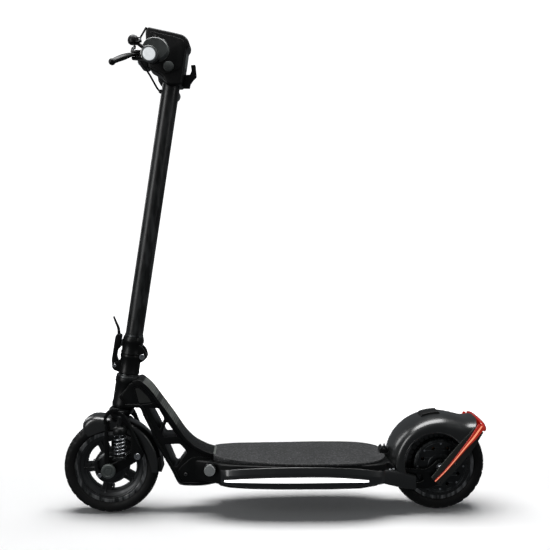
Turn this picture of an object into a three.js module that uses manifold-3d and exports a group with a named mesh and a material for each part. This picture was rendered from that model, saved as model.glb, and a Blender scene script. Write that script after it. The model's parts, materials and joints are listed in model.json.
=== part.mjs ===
// Electric kick scooter. Millimetres, +Z up, the scooter faces -X and the rider's left is -Y.
// The origin is on the ground midway between the two axles.
import * as THREE from 'three';
import Module from 'manifold-3d';

const wasm = await Module();
wasm.setup();

const DEG = Math.PI / 180;

// Wheels
const TYRE_RADIUS = 114.5;
const AXLE_X = 400;
const AXLE_Z = TYRE_RADIUS;
const RIM_RADIUS = 82.7;
const RIM_FLANGE_RADIUS = 88;
const WHEEL_SEGMENTS = 36;
const WINDOW_COUNT = 5;

// Steering axis: leans back and meets the ground at AXIS_FOOT_X
const HEAD_LEAN = 9 * DEG;
const AXIS_FOOT_X = -412;
const COLUMN_RADIUS = 15;
const STEM_RADIUS = 21;
const STEM_WALL = 3;
const FOLD_PLANE = 388 / Math.cos(HEAD_LEAN);
const FOLD_PIN = [-322, 383];
const LATCH_PIN = [-34, 361];
const STEM_TOP = 1034 / Math.cos(HEAD_LEAN);

// Front suspension
const LINK_PIVOT = [-331, 150];
const SPRING_X = -372;
const SPRING_Y = 48;
const SPRING_BOTTOM = 149;
const SPRING_TOP = 204;
const SPRING_TURNS = 5;

// Deck
const DECK_PLAN = [
  [-214, 30], [-186, 36], [-158, 48], [-134, 66], [-100, 78], [-50, 85], [10, 89.5], [70, 91.5],
  [130, 91.5], [180, 89.5], [222, 85], [250, 77], [268, 66],
];
const DECK_TOP = 134.5;
const DECK_BOTTOM = 84;
const MAT_TOP = 141;
const FAIRING_THICKNESS = 7;
const NECK_HALF_WIDTH = 35;

// Handlebar
const BAR_X = -283;
const BAR_Z = 1085;
const BAR_RADIUS = 11.1;
const BAR_BEND_Y = 60;
const BAR_END = [-266.6, 241.4, 1048.2];
const GAP = 0.3;

// Turns any closed three.js geometry into a solid, welding equal points.
function toSolid(geometry) {
  const position = geometry.getAttribute('position');
  const index = geometry.getIndex();
  const count = index ? index.count : position.count;
  const known = new Map();
  const points = [];
  const triangles = [];
  let volume = 0;
  function weld(i) {
    const p = [position.getX(i), position.getY(i), position.getZ(i)];
    const key = p.map((value) => Math.round(value * 1e4)).join(' ');
    if (!known.has(key)) {
      known.set(key, points.length / 3);
      points.push(...p);
    }
    return known.get(key);
  }
  for (let i = 0; i < count; i += 3) {
    const corner = [0, 1, 2].map((k) => weld(index ? index.getX(i + k) : i + k));
    if (new Set(corner).size === 3) {
      triangles.push(...corner);
      const [a, b, c] = corner.map((v) => new THREE.Vector3().fromArray(points, v * 3));
      volume += a.dot(b.cross(c));
    }
  }
  if (volume < 0) {
    for (let i = 0; i < triangles.length; i += 3) {
      const first = triangles[i];
      triangles[i] = triangles[i + 1];
      triangles[i + 1] = first;
    }
  }
  return new wasm.Manifold(new wasm.Mesh({
    numProp: 3,
    vertProperties: Float32Array.from(points),
    triVerts: Uint32Array.from(triangles),
  }));
}

function join(...solids) {
  return solids.reduce((whole, next) => whole.add(next));
}

function cut(solid, ...tools) {
  return tools.reduce((rest, tool) => rest.subtract(tool), solid);
}

function makeShape(points, holes = []) {
  const shape = new THREE.Shape(points.map(([a, b]) => new THREE.Vector2(a, b)));
  for (const hole of holes) {
    shape.holes.push(new THREE.Path(hole.map(([a, b]) => new THREE.Vector2(a, b))));
  }
  return shape;
}

// Side outline (x, z) given a thickness from yMin to yMax.
function plate(points, yMin, yMax, holes = []) {
  const options = { depth: yMax - yMin, bevelEnabled: false, steps: 1 };
  const geometry = new THREE.ExtrudeGeometry(makeShape(points, holes), options);
  geometry.rotateX(Math.PI / 2);
  geometry.translate(0, yMax, 0);
  return toSolid(geometry);
}

// Plan outline (x, y) given a height from zMin to zMax.
function slab(points, zMin, zMax, holes = []) {
  const options = { depth: zMax - zMin, bevelEnabled: false, steps: 1 };
  const geometry = new THREE.ExtrudeGeometry(makeShape(points, holes), options);
  geometry.translate(0, 0, zMin);
  return toSolid(geometry);
}

function blockGeometry(x0, x1, y0, y1, z0, z1) {
  const geometry = new THREE.BoxGeometry(x1 - x0, y1 - y0, z1 - z0);
  geometry.translate((x0 + x1) / 2, (y0 + y1) / 2, (z0 + z1) / 2);
  return geometry;
}

function block(x0, x1, y0, y1, z0, z1) {
  return toSolid(blockGeometry(x0, x1, y0, y1, z0, z1));
}

// Round bar between two points.
function rod(from, to, radius, sides = 16, endRadius = radius) {
  const a = new THREE.Vector3(...from);
  const b = new THREE.Vector3(...to);
  const along = b.clone().sub(a);
  const geometry = new THREE.CylinderGeometry(endRadius, radius, along.length(), sides);
  const turn = new THREE.Quaternion().setFromUnitVectors(
    new THREE.Vector3(0, 1, 0),
    along.clone().normalize(),
  );
  geometry.applyQuaternion(turn);
  const middle = a.add(b).multiplyScalar(0.5);
  geometry.translate(middle.x, middle.y, middle.z);
  return toSolid(geometry);
}

function rodY(x, z, radius, yMin, yMax, sides = 20) {
  return rod([x, yMin, z], [x, yMax, z], radius, sides);
}

function ball(x, y, z, radius, sides = 12) {
  const geometry = new THREE.SphereGeometry(radius, sides, Math.round(sides / 2));
  geometry.translate(x, y, z);
  return toSolid(geometry);
}

// Profile (radius, y) turned about an axle along Y through (x, z).
function turned(profile, x, z, segments) {
  const points = profile.map(([r, y]) => new THREE.Vector2(r, y));
  const geometry = new THREE.LatheGeometry(points, segments);
  geometry.translate(x, 0, z);
  return toSolid(geometry);
}

// Moves geometry drawn about an upright axis onto the leaning steering axis.
function lean(geometry) {
  geometry.rotateY(HEAD_LEAN);
  geometry.translate(AXIS_FOOT_X, 0, 0);
  return geometry;
}

function leanTurned(profile, segments) {
  const points = profile.map(([r, s]) => new THREE.Vector2(r, s));
  const geometry = new THREE.LatheGeometry(points, segments);
  geometry.rotateX(Math.PI / 2);
  return toSolid(lean(geometry));
}

// Side outline (distance behind the axis, height along it), from vMin to vMax across.
function leanPlate(points, vMin, vMax) {
  const options = { depth: vMax - vMin, bevelEnabled: false, steps: 1 };
  const geometry = new THREE.ExtrudeGeometry(makeShape(points), options);
  geometry.rotateX(Math.PI / 2);
  geometry.translate(0, vMax, 0);
  return toSolid(lean(geometry));
}

// Plan outline about the steering axis, from sMin to sMax along it.
function leanSlab(points, sMin, sMax) {
  const options = { depth: sMax - sMin, bevelEnabled: false, steps: 1 };
  const geometry = new THREE.ExtrudeGeometry(makeShape(points), options);
  geometry.translate(0, 0, sMin);
  return toSolid(lean(geometry));
}

// Point a distance u behind the steering axis, s along it and v across.
function leanPoint(u, s, v) {
  const x = AXIS_FOOT_X + u * Math.cos(HEAD_LEAN) + s * Math.sin(HEAD_LEAN);
  const z = s * Math.cos(HEAD_LEAN) - u * Math.sin(HEAD_LEAN);
  return [x, v, z];
}

// Round tube swept along a smooth path.
function sweep(points, radius, steps, sides) {
  const curve = new THREE.CatmullRomCurve3(points.map((p) => new THREE.Vector3(...p)));
  const circle = [];
  for (let i = 0; i < sides; i += 1) {
    const angle = (i / sides) * 2 * Math.PI;
    circle.push([radius * Math.cos(angle), radius * Math.sin(angle)]);
  }
  const options = { steps, bevelEnabled: false, extrudePath: curve };
  return toSolid(new THREE.ExtrudeGeometry(makeShape(circle), options));
}

function arc(x, z, radius, fromDeg, toDeg, steps) {
  const points = [];
  for (let i = 0; i <= steps; i += 1) {
    const angle = (fromDeg + ((toDeg - fromDeg) * i) / steps) * DEG;
    points.push([x + radius * Math.cos(angle), z + radius * Math.sin(angle)]);
  }
  return points;
}

// Band of a given width along a line of points.
function band(line, widths) {
  const left = [];
  const right = [];
  line.forEach(([x, z], i) => {
    const before = line[Math.max(i - 1, 0)];
    const after = line[Math.min(i + 1, line.length - 1)];
    const length = Math.hypot(after[0] - before[0], after[1] - before[1]);
    const nx = -(after[1] - before[1]) / length;
    const nz = (after[0] - before[0]) / length;
    const half = widths[i] / 2;
    left.push([x + nx * half, z + nz * half]);
    right.push([x - nx * half, z - nz * half]);
  });
  return left.concat(right.reverse());
}

function bothSides(half) {
  const mirrored = half.map(([x, y]) => [x, -y]).reverse();
  return half.concat(mirrored);
}

const scooter = new THREE.Group();
scooter.name = 'kick_scooter';

const COLOURS = {
  satin: 0x1b1c1e,
  gloss: 0x33363a,
  rubber: 0x141414,
  metal: 0xa9adb2,
  dark: 0x2a2b2d,
  white: 0xf4f7ff,
  red: 0xff3b1c,
  glass: 0x0a0c10,
  copper: 0x9a5a2c,
  blue: 0x2b4a78,
};

function put(name, solid, colour) {
  const source = solid.getMesh();
  const geometry = new THREE.BufferGeometry();
  const vertices = new Float32Array(source.vertProperties);
  geometry.setAttribute('position', new THREE.BufferAttribute(vertices, 3));
  geometry.setIndex(new THREE.BufferAttribute(new Uint32Array(source.triVerts), 1));
  geometry.computeVertexNormals();
  const material = new THREE.MeshStandardMaterial({ color: COLOURS[colour], roughness: 0.5 });
  const mesh = new THREE.Mesh(geometry, material);
  mesh.name = name;
  scooter.add(mesh);
}

// ---------------------------------------------------------------- main frame
const headBoreSolid = leanTurned([[0, 240], [19, 240], [19, 350], [0, 350]], 18);

function makeMainFrame() {
  const neck = plate([
    [-345, 325], [-331.2, 326.8], [-330.2, 333], [-322, 326.5], [-303, 309.5], [-278.6, 276.5],
    [-251.5, 238.5], [-224, 197.5], [-210, 181.5], [-196, 169], [-178, 157.5], [-162, 150],
    [-150, 145.5], [-150, 134], [-140, 134], [-140, 78], [-178, 71.5], [-226, 73], [-239, 83],
    [-251.5, 109], [-293, 183], [-300, 205], [-318, 243], [-326, 262], [-362, 264], [-378, 290],
  ], -NECK_HALF_WIDTH, NECK_HALF_WIDTH);
  const headTube = leanTurned([[0, 264.5], [28, 264.5], [28, 336], [0, 336]], 32);
  const deck = slab(bothSides(DECK_PLAN), DECK_BOTTOM, DECK_TOP);
  const chargeBoss = rodY(-158, 120, 13.5, -70, -44, 18);
  const chargeBore = rodY(-158, 120, 10, -80, -58, 14);
  const standBoss = rodY(-160, 93, 9, 45, 63, 14);
  const bay = slab(bothSides([[-112, 64], [-60, 77], [205, 79], [240, 60]]), 70, 126);
  const windows = [
    [[-306, 261], [-283, 261.5], [-268.7, 237], [-279.5, 208]],
    [[-262.5, 228], [-237, 192], [-270, 190.5], [-275, 201]],
    [[-268, 173], [-231, 173.5], [-214, 153], [-240, 117], [-246, 118]],
  ].map((outline) => plate(outline, -60, 60));
  const pocketOutline = [[-338, 312], [-318, 306], [-300, 284], [-309, 268], [-322, 268]];
  const pockets = [[-NECK_HALF_WIDTH - 6, -31], [31, NECK_HALF_WIDTH + 6]]
    .map(([y0, y1]) => plate(pocketOutline, y0, y1));
  const body = join(neck, headTube, deck, chargeBoss, standBoss);
  return cut(body, headBoreSolid, bay, chargeBore, ...windows, ...pockets);
}
put('main_frame', makeMainFrame(), 'satin');

put('headset_upper', leanTurned([
  [COLUMN_RADIUS + GAP, 330], [18.7, 330], [18.7, 336.3], [26, 336.3], [27.5, 339],
  [26, 345], [COLUMN_RADIUS + GAP, 345], [COLUMN_RADIUS + GAP, 330],
], 18), 'metal');
put('headset_lower', leanTurned([
  [COLUMN_RADIUS + GAP, 265], [18.7, 265], [18.7, 273], [COLUMN_RADIUS + GAP, 273],
  [COLUMN_RADIUS + GAP, 265],
], 18), 'metal');

put('belly_pan', slab(bothSides([
  [-138, 48], [-112, 66], [-60, 76], [10, 82], [130, 84], [200, 80], [246, 60],
]), 76, DECK_BOTTOM - GAP), 'dark');
put('battery_pack', block(-76, 160, -72, 72, DECK_BOTTOM + GAP, 122), 'blue');

function makeController() {
  const base = block(172, 236, -46, 46, DECK_BOTTOM + GAP, 104);
  const fins = [];
  for (let i = 0; i < 5; i += 1) {
    const y = -40 + i * 18.5;
    fins.push(block(172, 236, y, y + 6, 103, 116));
  }
  return join(base, ...fins);
}
put('controller', makeController(), 'metal');

put('deck_mat', slab(bothSides([
  [-149.7, 45], [-134, 56], [-100, 70], [-50, 80], [10, 88], [70, 92], [130, 92.5], [178, 90],
  [212, 84], [238, 72], [256, 55], [265, 34],
]), DECK_TOP + GAP, MAT_TOP), 'rubber');

// ------------------------------------------------- side fairings and lights
// Deck plan moved outwards by a distance.
function deckPlan(grow) {
  return bothSides(DECK_PLAN.map(([x, y]) => [x, y + grow]));
}

const FAIRING_SIDE = [
  [-132, 121], [-60, 129], [30, 133], [110, 133], [190, 128], [262, 116], [262, 90], [150, 82],
  [-40, 82], [-132, 88],
];
const LIGHT_SIDE = [
  [-126, 99], [-60, 106], [40, 110], [130, 109.5], [222, 100], [218, 96.5], [130, 98], [-60, 97],
  [-122, 95],
];
const LIGHT_SLOT = [
  [-130, 99], [-60, 107], [40, 111], [130, 110.5], [226, 100.5], [221, 95], [130, 97], [-60, 96],
  [-124, 94],
];
for (const side of [-1, 1]) {
  const name = side < 0 ? 'left' : 'right';
  const span = side < 0 ? [-120, -20] : [20, 120];
  const skin = slab(deckPlan(FAIRING_THICKNESS), 70, 140)
    .subtract(slab(deckPlan(GAP), 60, 150))
    .intersect(plate(FAIRING_SIDE, ...span));
  const slot = slab(deckPlan(20), 70, 140)
    .subtract(slab(deckPlan(FAIRING_THICKNESS - 4), 60, 150))
    .intersect(plate(LIGHT_SLOT, ...span));
  const strip = slab(deckPlan(FAIRING_THICKNESS + 0.6), 70, 140)
    .subtract(slab(deckPlan(FAIRING_THICKNESS - 3.6), 60, 150))
    .intersect(plate(LIGHT_SIDE, ...span));
  put(`side_fairing_${name}`, cut(skin, slot), 'gloss');
  put(`side_light_${name}`, strip, 'white');
}

// --------------------------------------------------- charge cap and kickstand
function makeChargeCap() {
  const disc = rodY(-158, 120, 13, -73.5, -70 - GAP, 18);
  const plug = rodY(-158, 120, 8, -71, -67, 14);
  const lug = block(-164, -152, -73.5, -70 - GAP, 129, 134.5);
  return join(disc, plug, lug);
}
put('charge_cap', makeChargeCap(), 'gloss');

function makeKickstand() {
  const boss = rodY(-160, 93, 8.5, 63 + GAP, 73, 14);
  const leg = sweep([
    [-156, 68, 89], [-140, 69, 75], [-118, 69.5, 69.5], [-90, 70, 68.5], [-58, 70, 68],
  ], 4.6, 9, 8);
  const foot = rod([-66, 70, 68.2], [-52, 70, 68], 6.4, 14);
  return join(boss, leg, foot);
}
put('kickstand', makeKickstand(), 'dark');

// ------------------------------------------------------------------ rear end
const REAR_ARM = [
  [268 + GAP, 122], [268 + GAP, 78], [306, 67], [366, 62], [404, 78], [421, 98],
  [422, 118], [410, 135], [390, 136], [378, 122], [362, 112], [322, 114],
];
for (const side of [-1, 1]) {
  const name = side < 0 ? 'left' : 'right';
  const arm = plate(REAR_ARM, side < 0 ? -50 : 42, side < 0 ? -42 : 50);
  const foot = block(268 + GAP, 277, side < 0 ? -56 : 42, side < 0 ? -42 : 56, 84, 118);
  const hole = rodY(AXLE_X, AXLE_Z, 6 + GAP, -70, 70, 14);
  put(`rear_arm_${name}`, cut(join(arm, foot), hole), 'satin');
}

const hookCatchBody = plate([
  [256, MAT_TOP + GAP], [275, MAT_TOP + GAP], [277, 147], [272, 157], [262, 157], [256, 150],
], -14, 14);
put('hook_catch', cut(hookCatchBody, block(263, 269, -20, 20, 151, 162)), 'dark');

function makeRearFender() {
  const crown = arc(AXLE_X, AXLE_Z, 126, 200, 58, 20);
  const outer = crown.concat([
    [482, 229], [489.5, 231], [499.5, 203], [470, 163], [436, 124], [404, 88], [388, 70],
    [340, 66], [300, 62],
  ]);
  const inner = arc(AXLE_X, AXLE_Z, 121.5, 214, 54, 20).concat([
    [478, 223], [486, 224], [510, 150], [470, 20], [300, 20],
  ]);
  const shell = cut(
    plate(outer, -61, 61),
    plate(inner, -57, 57),
    rodY(383, 128, 76, -80, 80, 32),
    block(260, 304, -57, 57, 40, 130),
  );
  const stay = band([[383, 84], [424, 131], [458, 172], [490, 213]], [30, 36, 34, 28]);
  const stays = [plate(stay, -61, -57), plate(stay, 57, 61)];
  const behindTail = plate([[489.9, 231], [500.3, 201.5], [506, 190], [540, 190], [540, 250], [480, 260]],
    -80, 80);
  return cut(join(shell, ...stays), behindTail);
}
put('rear_fender', makeRearFender(), 'gloss');

function makeTailLight() {
  const line = [[381, 86], [402, 107], [422, 130], [455, 171], [474, 194], [492, 220]];
  const widths = [7, 7, 8, 10, 13, 17];
  const strips = [plate(band(line, widths), -64.5, -61 - GAP), plate(band(line, widths), 61 + GAP, 64.5)];
  const tail = plate([
    [490.8, 230.8], [498, 229.5], [506, 222], [512, 208], [509, 199], [501.2, 201.9],
  ], -64.5, 64.5);
  return join(...strips, tail);
}
put('tail_light', makeTailLight(), 'red');

// -------------------------------------------------------------------- wheels
const TYRE_PROFILE = [
  [83, -17.2], [88.5, -17.2], [90, -21.5], [98, -25.5], [107, -22.5], [113, -12],
  [TYRE_RADIUS, 0], [113, 12], [107, 22.5], [98, 25.5], [90, 21.5], [88.5, 17.2],
  [83, 17.2], [83, -17.2],
];
put('front_tyre', turned(TYRE_PROFILE, -AXLE_X, AXLE_Z, WHEEL_SEGMENTS), 'rubber');
put('rear_tyre', turned(TYRE_PROFILE, AXLE_X, AXLE_Z, WHEEL_SEGMENTS), 'rubber');

function makeFrontRim() {
  const barrel = turned([
    [74, -20.5], [RIM_FLANGE_RADIUS, -20.5], [RIM_FLANGE_RADIUS, -17.5], [RIM_RADIUS, -17.5],
    [RIM_RADIUS, 17.5], [RIM_FLANGE_RADIUS, 17.5], [RIM_FLANGE_RADIUS, 20.5], [74, 20.5],
    [74, -20.5],
  ], -AXLE_X, AXLE_Z, WHEEL_SEGMENTS);
  const hub = turned([
    [8.3, -12], [32, -12], [32, -24], [38, -24], [38, 12], [28, 20], [8.3, 24], [8.3, -12],
  ], -AXLE_X, AXLE_Z, WHEEL_SEGMENTS);
  const web = turned([[36, -6], [76, -8], [76, 8], [36, 6], [36, -6]], -AXLE_X, AXLE_Z, WHEEL_SEGMENTS);
  const windows = [];
  for (let i = 0; i < WINDOW_COUNT; i += 1) {
    const middle = 4 + (i * 360) / WINDOW_COUNT;
    const outer = arc(-AXLE_X, AXLE_Z, 60, middle - 25, middle + 25, 4);
    const inner = arc(-AXLE_X, AXLE_Z, 43, middle + 21, middle - 21, 3);
    windows.push(plate(outer.concat(inner), -30, 30));
  }
  const valve = rod([-AXLE_X, 11, 38], [-AXLE_X, 11, 60], 2.6, 10);
  return join(cut(web, ...windows), barrel, hub, valve);
}
put('front_rim', makeFrontRim(), 'dark');

put('rear_rim', turned([
  [14, 39], [58, 39], [66, 33], [70, 20.5], [RIM_FLANGE_RADIUS, 20.5], [RIM_FLANGE_RADIUS, 17.5],
  [RIM_RADIUS, 17.5], [RIM_RADIUS, -17.5], [RIM_FLANGE_RADIUS, -17.5],
  [RIM_FLANGE_RADIUS, -20.5], [70, -20.5], [66, -33], [60, -33], [60, 30], [14, 30], [14, 39],
], AXLE_X, AXLE_Z, WHEEL_SEGMENTS), 'dark');

function makeMotorCover() {
  const disc = turned([
    [14, -39.5], [34, -39.5], [58, -38], [66, -33.3], [14, -33.3], [14, -39.5],
  ], AXLE_X, AXLE_Z, WHEEL_SEGMENTS);
  const holes = [];
  for (let i = 0; i < 8; i += 1) {
    const angle = i * 45 * DEG;
    const x = AXLE_X + 50 * Math.cos(angle);
    const z = AXLE_Z + 50 * Math.sin(angle);
    holes.push(rodY(x, z, 4, -45, -36.5, 8));
  }
  return cut(disc, ...holes);
}
put('motor_cover', makeMotorCover(), 'dark');

put('motor_stator', turned([
  [6.3, -14], [18, -22], [54, -22], [54, 22], [18, 22], [6.3, 14], [6.3, -14],
], AXLE_X, AXLE_Z, 18), 'copper');

function makeRearAxle() {
  const shaft = rodY(AXLE_X, AXLE_Z, 6, -56, 56, 14);
  const nuts = [[-55.5, -50 - GAP], [50 + GAP, 55.5]].map(([y0, y1]) => rodY(AXLE_X, AXLE_Z, 11, y0, y1, 6));
  return join(shaft, ...nuts);
}
put('rear_axle', makeRearAxle(), 'metal');

// -------------------------------------------------------- front suspension
for (const side of [-1, 1]) {
  const name = side < 0 ? 'left' : 'right';
  const span = (a, b) => (side < 0 ? [-b, -a] : [a, b]);
  const linkOutline = [
    [-331, 164], [-344, 161], [-360, 148], [-388, 131], [-404, 128], [-414, 118], [-412, 102],
    [-400, 98], [-384, 104], [-330, 136], [-318, 144], [-318, 158],
  ];
  const link = plate(linkOutline, ...span(33, 39.7));
  const seat = plate([[-388, 142], [-356, 142], [-356, SPRING_BOTTOM - GAP], [-388, SPRING_BOTTOM - GAP]],
    ...span(33, 62));
  const strutOutline = [
    [-411, 114], [-398, 114], [-400, 190], [-400.5, 222], [-395, 231], [-401, 236], [-408.5, 227],
    [-410.5, 190],
  ];
  const strut = plate(strutOutline, ...span(40, 46));
  const strutTop = plate([[-405, 204], [-397, 202], [-392, 213], [-400, 220]], ...span(31.3, 46));
  const strutFoot = rodY(-AXLE_X, AXLE_Z, 14, ...span(39, 46), 18);
  const pivotHole = rodY(LINK_PIVOT[0], LINK_PIVOT[1], 5 + GAP, -70, 70, 18);
  const axleHole = rodY(-AXLE_X, AXLE_Z, 6 + GAP, -70, 70, 18);
  put(`link_${name}`, cut(join(link, seat, strut, strutTop, strutFoot), pivotHole, axleHole), 'satin');
}

function makeFrontAxle() {
  const shaft = rodY(-AXLE_X, AXLE_Z, 6, -56, 56, 14);
  const caps = [[-57, -46 - GAP], [46 + GAP, 57]].map(([y0, y1]) => rodY(-AXLE_X, AXLE_Z, 17, y0, y1, 18));
  return join(shaft, ...caps);
}
put('front_axle', makeFrontAxle(), 'metal');

// Bulged nose of the front fender as [angle, outer radius, inner radius].
const FENDER_NOSE = [
  [84, 122.4, 118.9], [90, 123.4, 119.9], [97, 125.8, 122.3], [104, 130.8, 127.2], [110, 133.4, 129.8],
  [116, 132.5, 128.6], [121, 128.5, 123.6], [124, 121, 117],
];

function makeFrontFender() {
  const polar = (angle, radius) => [
    -AXLE_X + radius * Math.cos(angle * DEG), AXLE_Z + radius * Math.sin(angle * DEG),
  ];
  const outer = arc(-AXLE_X, AXLE_Z, 122.5, -6, 78, 12)
    .concat(FENDER_NOSE.map(([angle, radius]) => polar(angle, radius)))
    .concat(arc(-AXLE_X, AXLE_Z, 94, 122, -6, 12));
  const inner = arc(-AXLE_X, AXLE_Z, 119, -14, 78, 12)
    .concat(FENDER_NOSE.map(([angle, , radius]) => polar(angle, radius)))
    .concat([polar(132, 112)])
    .concat(arc(-AXLE_X, AXLE_Z, 80, 132, -14, 10));
  return cut(plate(outer, -31, 31), plate(inner, -28, 28));
}
put('front_fender', makeFrontFender(), 'gloss');

put('brake_plate', turned([
  [6.3, -32], [24, -32], [35, -28.5], [38, -24.5], [6.3, -24.5], [6.3, -32],
], -AXLE_X, AXLE_Z, 32), 'dark');

function makeBrakeArm() {
  const arm = plate(band([[-424, 100], [-432, 118], [-434, 140]], [12, 9, 9]), -38, -33.5);
  const boss = rodY(-424, 100, 7, -39, -33, 18);
  return join(arm, boss);
}
put('brake_arm', makeBrakeArm(), 'metal');

// ------------------------------------------------------ fork and column
put('steering_column', leanTurned([
  [11, 252], [COLUMN_RADIUS, 252], [COLUMN_RADIUS, 386], [11, 386], [11, 252],
], 14), 'metal');

function makeFork() {
  const crown = leanSlab([
    [-24, -51], [8, -51], [22, -30], [26, 0], [22, 30], [8, 51], [-24, 51], [-30, 30],
    [-27, 0], [-30, -30],
  ], 249, 262.5);
  const legs = [-1, 1].map((side) => {
    const span = side < 0 ? [-51, -41] : [41, 51];
    return plate([
      [-395, 261], [-364, 256], [-350, 236], [-338, 205], [-320, 166], [-318, 150], [-328, 138],
      [-340, 139], [-347, 152], [-347, 206], [-358, 226], [-394, 247],
    ], ...span);
  });
  const domes = [-1, 1].map((side) => {
    const y = side * SPRING_Y;
    const dome = rod([SPRING_X, y, SPRING_TOP + GAP], [SPRING_X, y, 222], 16.5, 20, 9);
    const post = rod([SPRING_X, y, 218], [SPRING_X, y, 250], 7, 14);
    return join(dome, post);
  });
  const bolts = [-1, 1].map((side) => {
    const inner = side * 33;
    const outer = side * 54;
    return rodY(LINK_PIVOT[0], LINK_PIVOT[1], 5, Math.min(inner, outer), Math.max(inner, outer), 18);
  });
  const horns = [[-51, -46.6], [46.6, 51]].map(([y0, y1]) => plate([
    [-374, 265], [-390, 266], [-402, 259], [-409.5, 247], [-410.5, 228], [-403, 226], [-402, 243],
    [-394, 252.5], [-374, 255],
  ], y0, y1));
  const bore = leanTurned([[0, 240], [COLUMN_RADIUS + GAP, 240], [COLUMN_RADIUS + GAP, 275], [0, 275]], 18);
  return join(cut(join(crown, ...legs, ...horns), bore), ...domes, ...bolts);
}
put('fork', makeFork(), 'satin');

for (const side of [-1, 1]) {
  const name = side < 0 ? 'left' : 'right';
  const coil = [];
  const height = SPRING_TOP - SPRING_BOTTOM - 5;
  const steps = SPRING_TURNS * 8;
  for (let i = 0; i <= steps; i += 1) {
    const angle = (i / 8) * 2 * Math.PI;
    const z = SPRING_BOTTOM + 2.5 + (height * i) / steps;
    coil.push([SPRING_X + 13 * Math.cos(angle), side * SPRING_Y + 13 * Math.sin(angle), z]);
  }
  put(`spring_${name}`, sweep(coil, 1.9, SPRING_TURNS * 9, 5), 'metal');
}

// ---------------------------------------------------------- folding joint
function makeFoldBase() {
  const body = leanTurned([
    [0, 345 + GAP], [24.5, 345 + GAP], [25.5, 352], [25.5, 386], [23, FOLD_PLANE - GAP],
    [0, FOLD_PLANE - GAP],
  ], 18);
  const knuckle = join(
    rodY(FOLD_PIN[0], FOLD_PIN[1], 9, -9, 9, 18),
    block(-348, -326, -9, 9, 368, 384),
    block(-333, -314, -9, 9, 364, 383),
  );
  const lugs = [[-14, -10], [10, 14]].map(([v0, v1]) => leanPlate([
    [-22, 348], [-35, 351], [-40, 358], [-38, 367], [-22, 376],
  ], v0, v1));
  const latchHole = rod(leanPoint(...LATCH_PIN, -20), leanPoint(...LATCH_PIN, 20), 2.6 + GAP, 14);
  const bore = leanTurned([[0, 330], [COLUMN_RADIUS + GAP, 330], [COLUMN_RADIUS + GAP, 400], [0, 400]], 14);
  const earRoom = [rodY(...FOLD_PIN, 10.4, -18, -9.2, 18), rodY(...FOLD_PIN, 10.4, 9.2, 18, 18)];
  const pinHole = rodY(...FOLD_PIN, 4 + GAP, -30, 30, 18);
  return cut(join(body, knuckle, ...lugs), bore, latchHole, pinHole, ...earRoom);
}
put('fold_base', makeFoldBase(), 'satin');

function makeFoldPin() {
  const heads = [rodY(...FOLD_PIN, 7, -20.5, -17.6, 14), rodY(...FOLD_PIN, 7, 17.6, 20.5, 14)];
  return join(rodY(...FOLD_PIN, 4, -20, 20, 14), ...heads);
}
put('fold_pin', makeFoldPin(), 'metal');

function makeCollar() {
  const body = leanTurned([
    [0, FOLD_PLANE + GAP], [24.5, FOLD_PLANE + GAP], [25.5, 397], [25.5, 428], [22.5, 436], [0, 436],
  ], 18);
  const ears = [[-17.3, -9.3], [9.3, 17.3]].map(([y0, y1]) => join(
    rodY(...FOLD_PIN, 9, y0, y1, 18),
    plate([[-330, 385], [-313, 383], [-316, 398], [-330, 414], [-345, 412], [-340, 396]], y0, y1),
  ));
  const knuckleRoom = rodY(...FOLD_PIN, 9.6, -9.3, 9.3, 18);
  const latchCatch = leanPlate([[-22, 408], [-27.8, 411], [-27.8, 424], [-22, 428]], -8, 8);
  const bore = leanTurned([[0, 380], [STEM_RADIUS + GAP, 380], [STEM_RADIUS + GAP, 450], [0, 450]], 18);
  const hole = rodY(...FOLD_PIN, 4 + GAP, -30, 30, 18);
  return cut(join(body, ...ears, latchCatch), bore, hole, knuckleRoom);
}
put('stem_collar', makeCollar(), 'satin');

put('stem_tube', leanTurned([
  [STEM_RADIUS - STEM_WALL, FOLD_PLANE + 4], [STEM_RADIUS, FOLD_PLANE + 4], [STEM_RADIUS, STEM_TOP],
  [STEM_RADIUS - STEM_WALL, STEM_TOP], [STEM_RADIUS - STEM_WALL, FOLD_PLANE + 4],
], 18), 'satin');

function makeLatch() {
  const [pinU, pinS] = LATCH_PIN;
  const body = leanPlate([
    ...arc(pinU, pinS, 7.5, 200, 350, 8), [-28.4, 372], [-34, 382], [-34, 398], [-28.4, 404],
    [-28.4, 436], [-40, 438], [-43, 430], [-44, 374],
  ], -9.5, 9.5);
  const blade = leanPlate([
    [-34, 434], [-40, 434], [-45, 452], [-54, 470], [-58, 478], [-54, 479], [-46, 466],
    [-38, 450],
  ], -7, 7);
  const pin = rod(leanPoint(...LATCH_PIN, -15), leanPoint(...LATCH_PIN, 15), 2.6, 14);
  return join(body, blade, pin);
}
put('latch_lever', makeLatch(), 'dark');

// ------------------------------------------------------------------ cockpit
function makeHeadHousing() {
  const body = plate([
    [-299, 1160.5], [-243, 1149], [-217, 1143], [-208, 1136], [-202.5, 1127], [-203.5, 1116],
    [-208.5, 1110], [-216.8, 1055], [-221, 1027.5], [-258, 1027.5], [-263, 1044], [-276, 1054],
    [-298, 1066], [-303, 1110], [-304, 1150],
  ], -34, 34);
  const plug = leanTurned([[0, 1022], [16, 1022], [16, 1056], [0, 1056]], 18);
  const underCut = leanTurned([
    [16, 1010], [STEM_RADIUS + GAP, 1010], [STEM_RADIUS + GAP, STEM_TOP + GAP], [16, STEM_TOP + GAP],
    [16, 1010],
  ], 18);
  const barHole = rodY(BAR_X, BAR_Z, BAR_RADIUS + GAP, -60, 60, 18);
  const window = plate([[-292, 1175], [-292, 1155.4], [-238, 1144.2], [-238, 1175]], -27, 27);
  return cut(join(cut(body, underCut), plug), barHole, window);
}
put('head_housing', makeHeadHousing(), 'dark');
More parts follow.
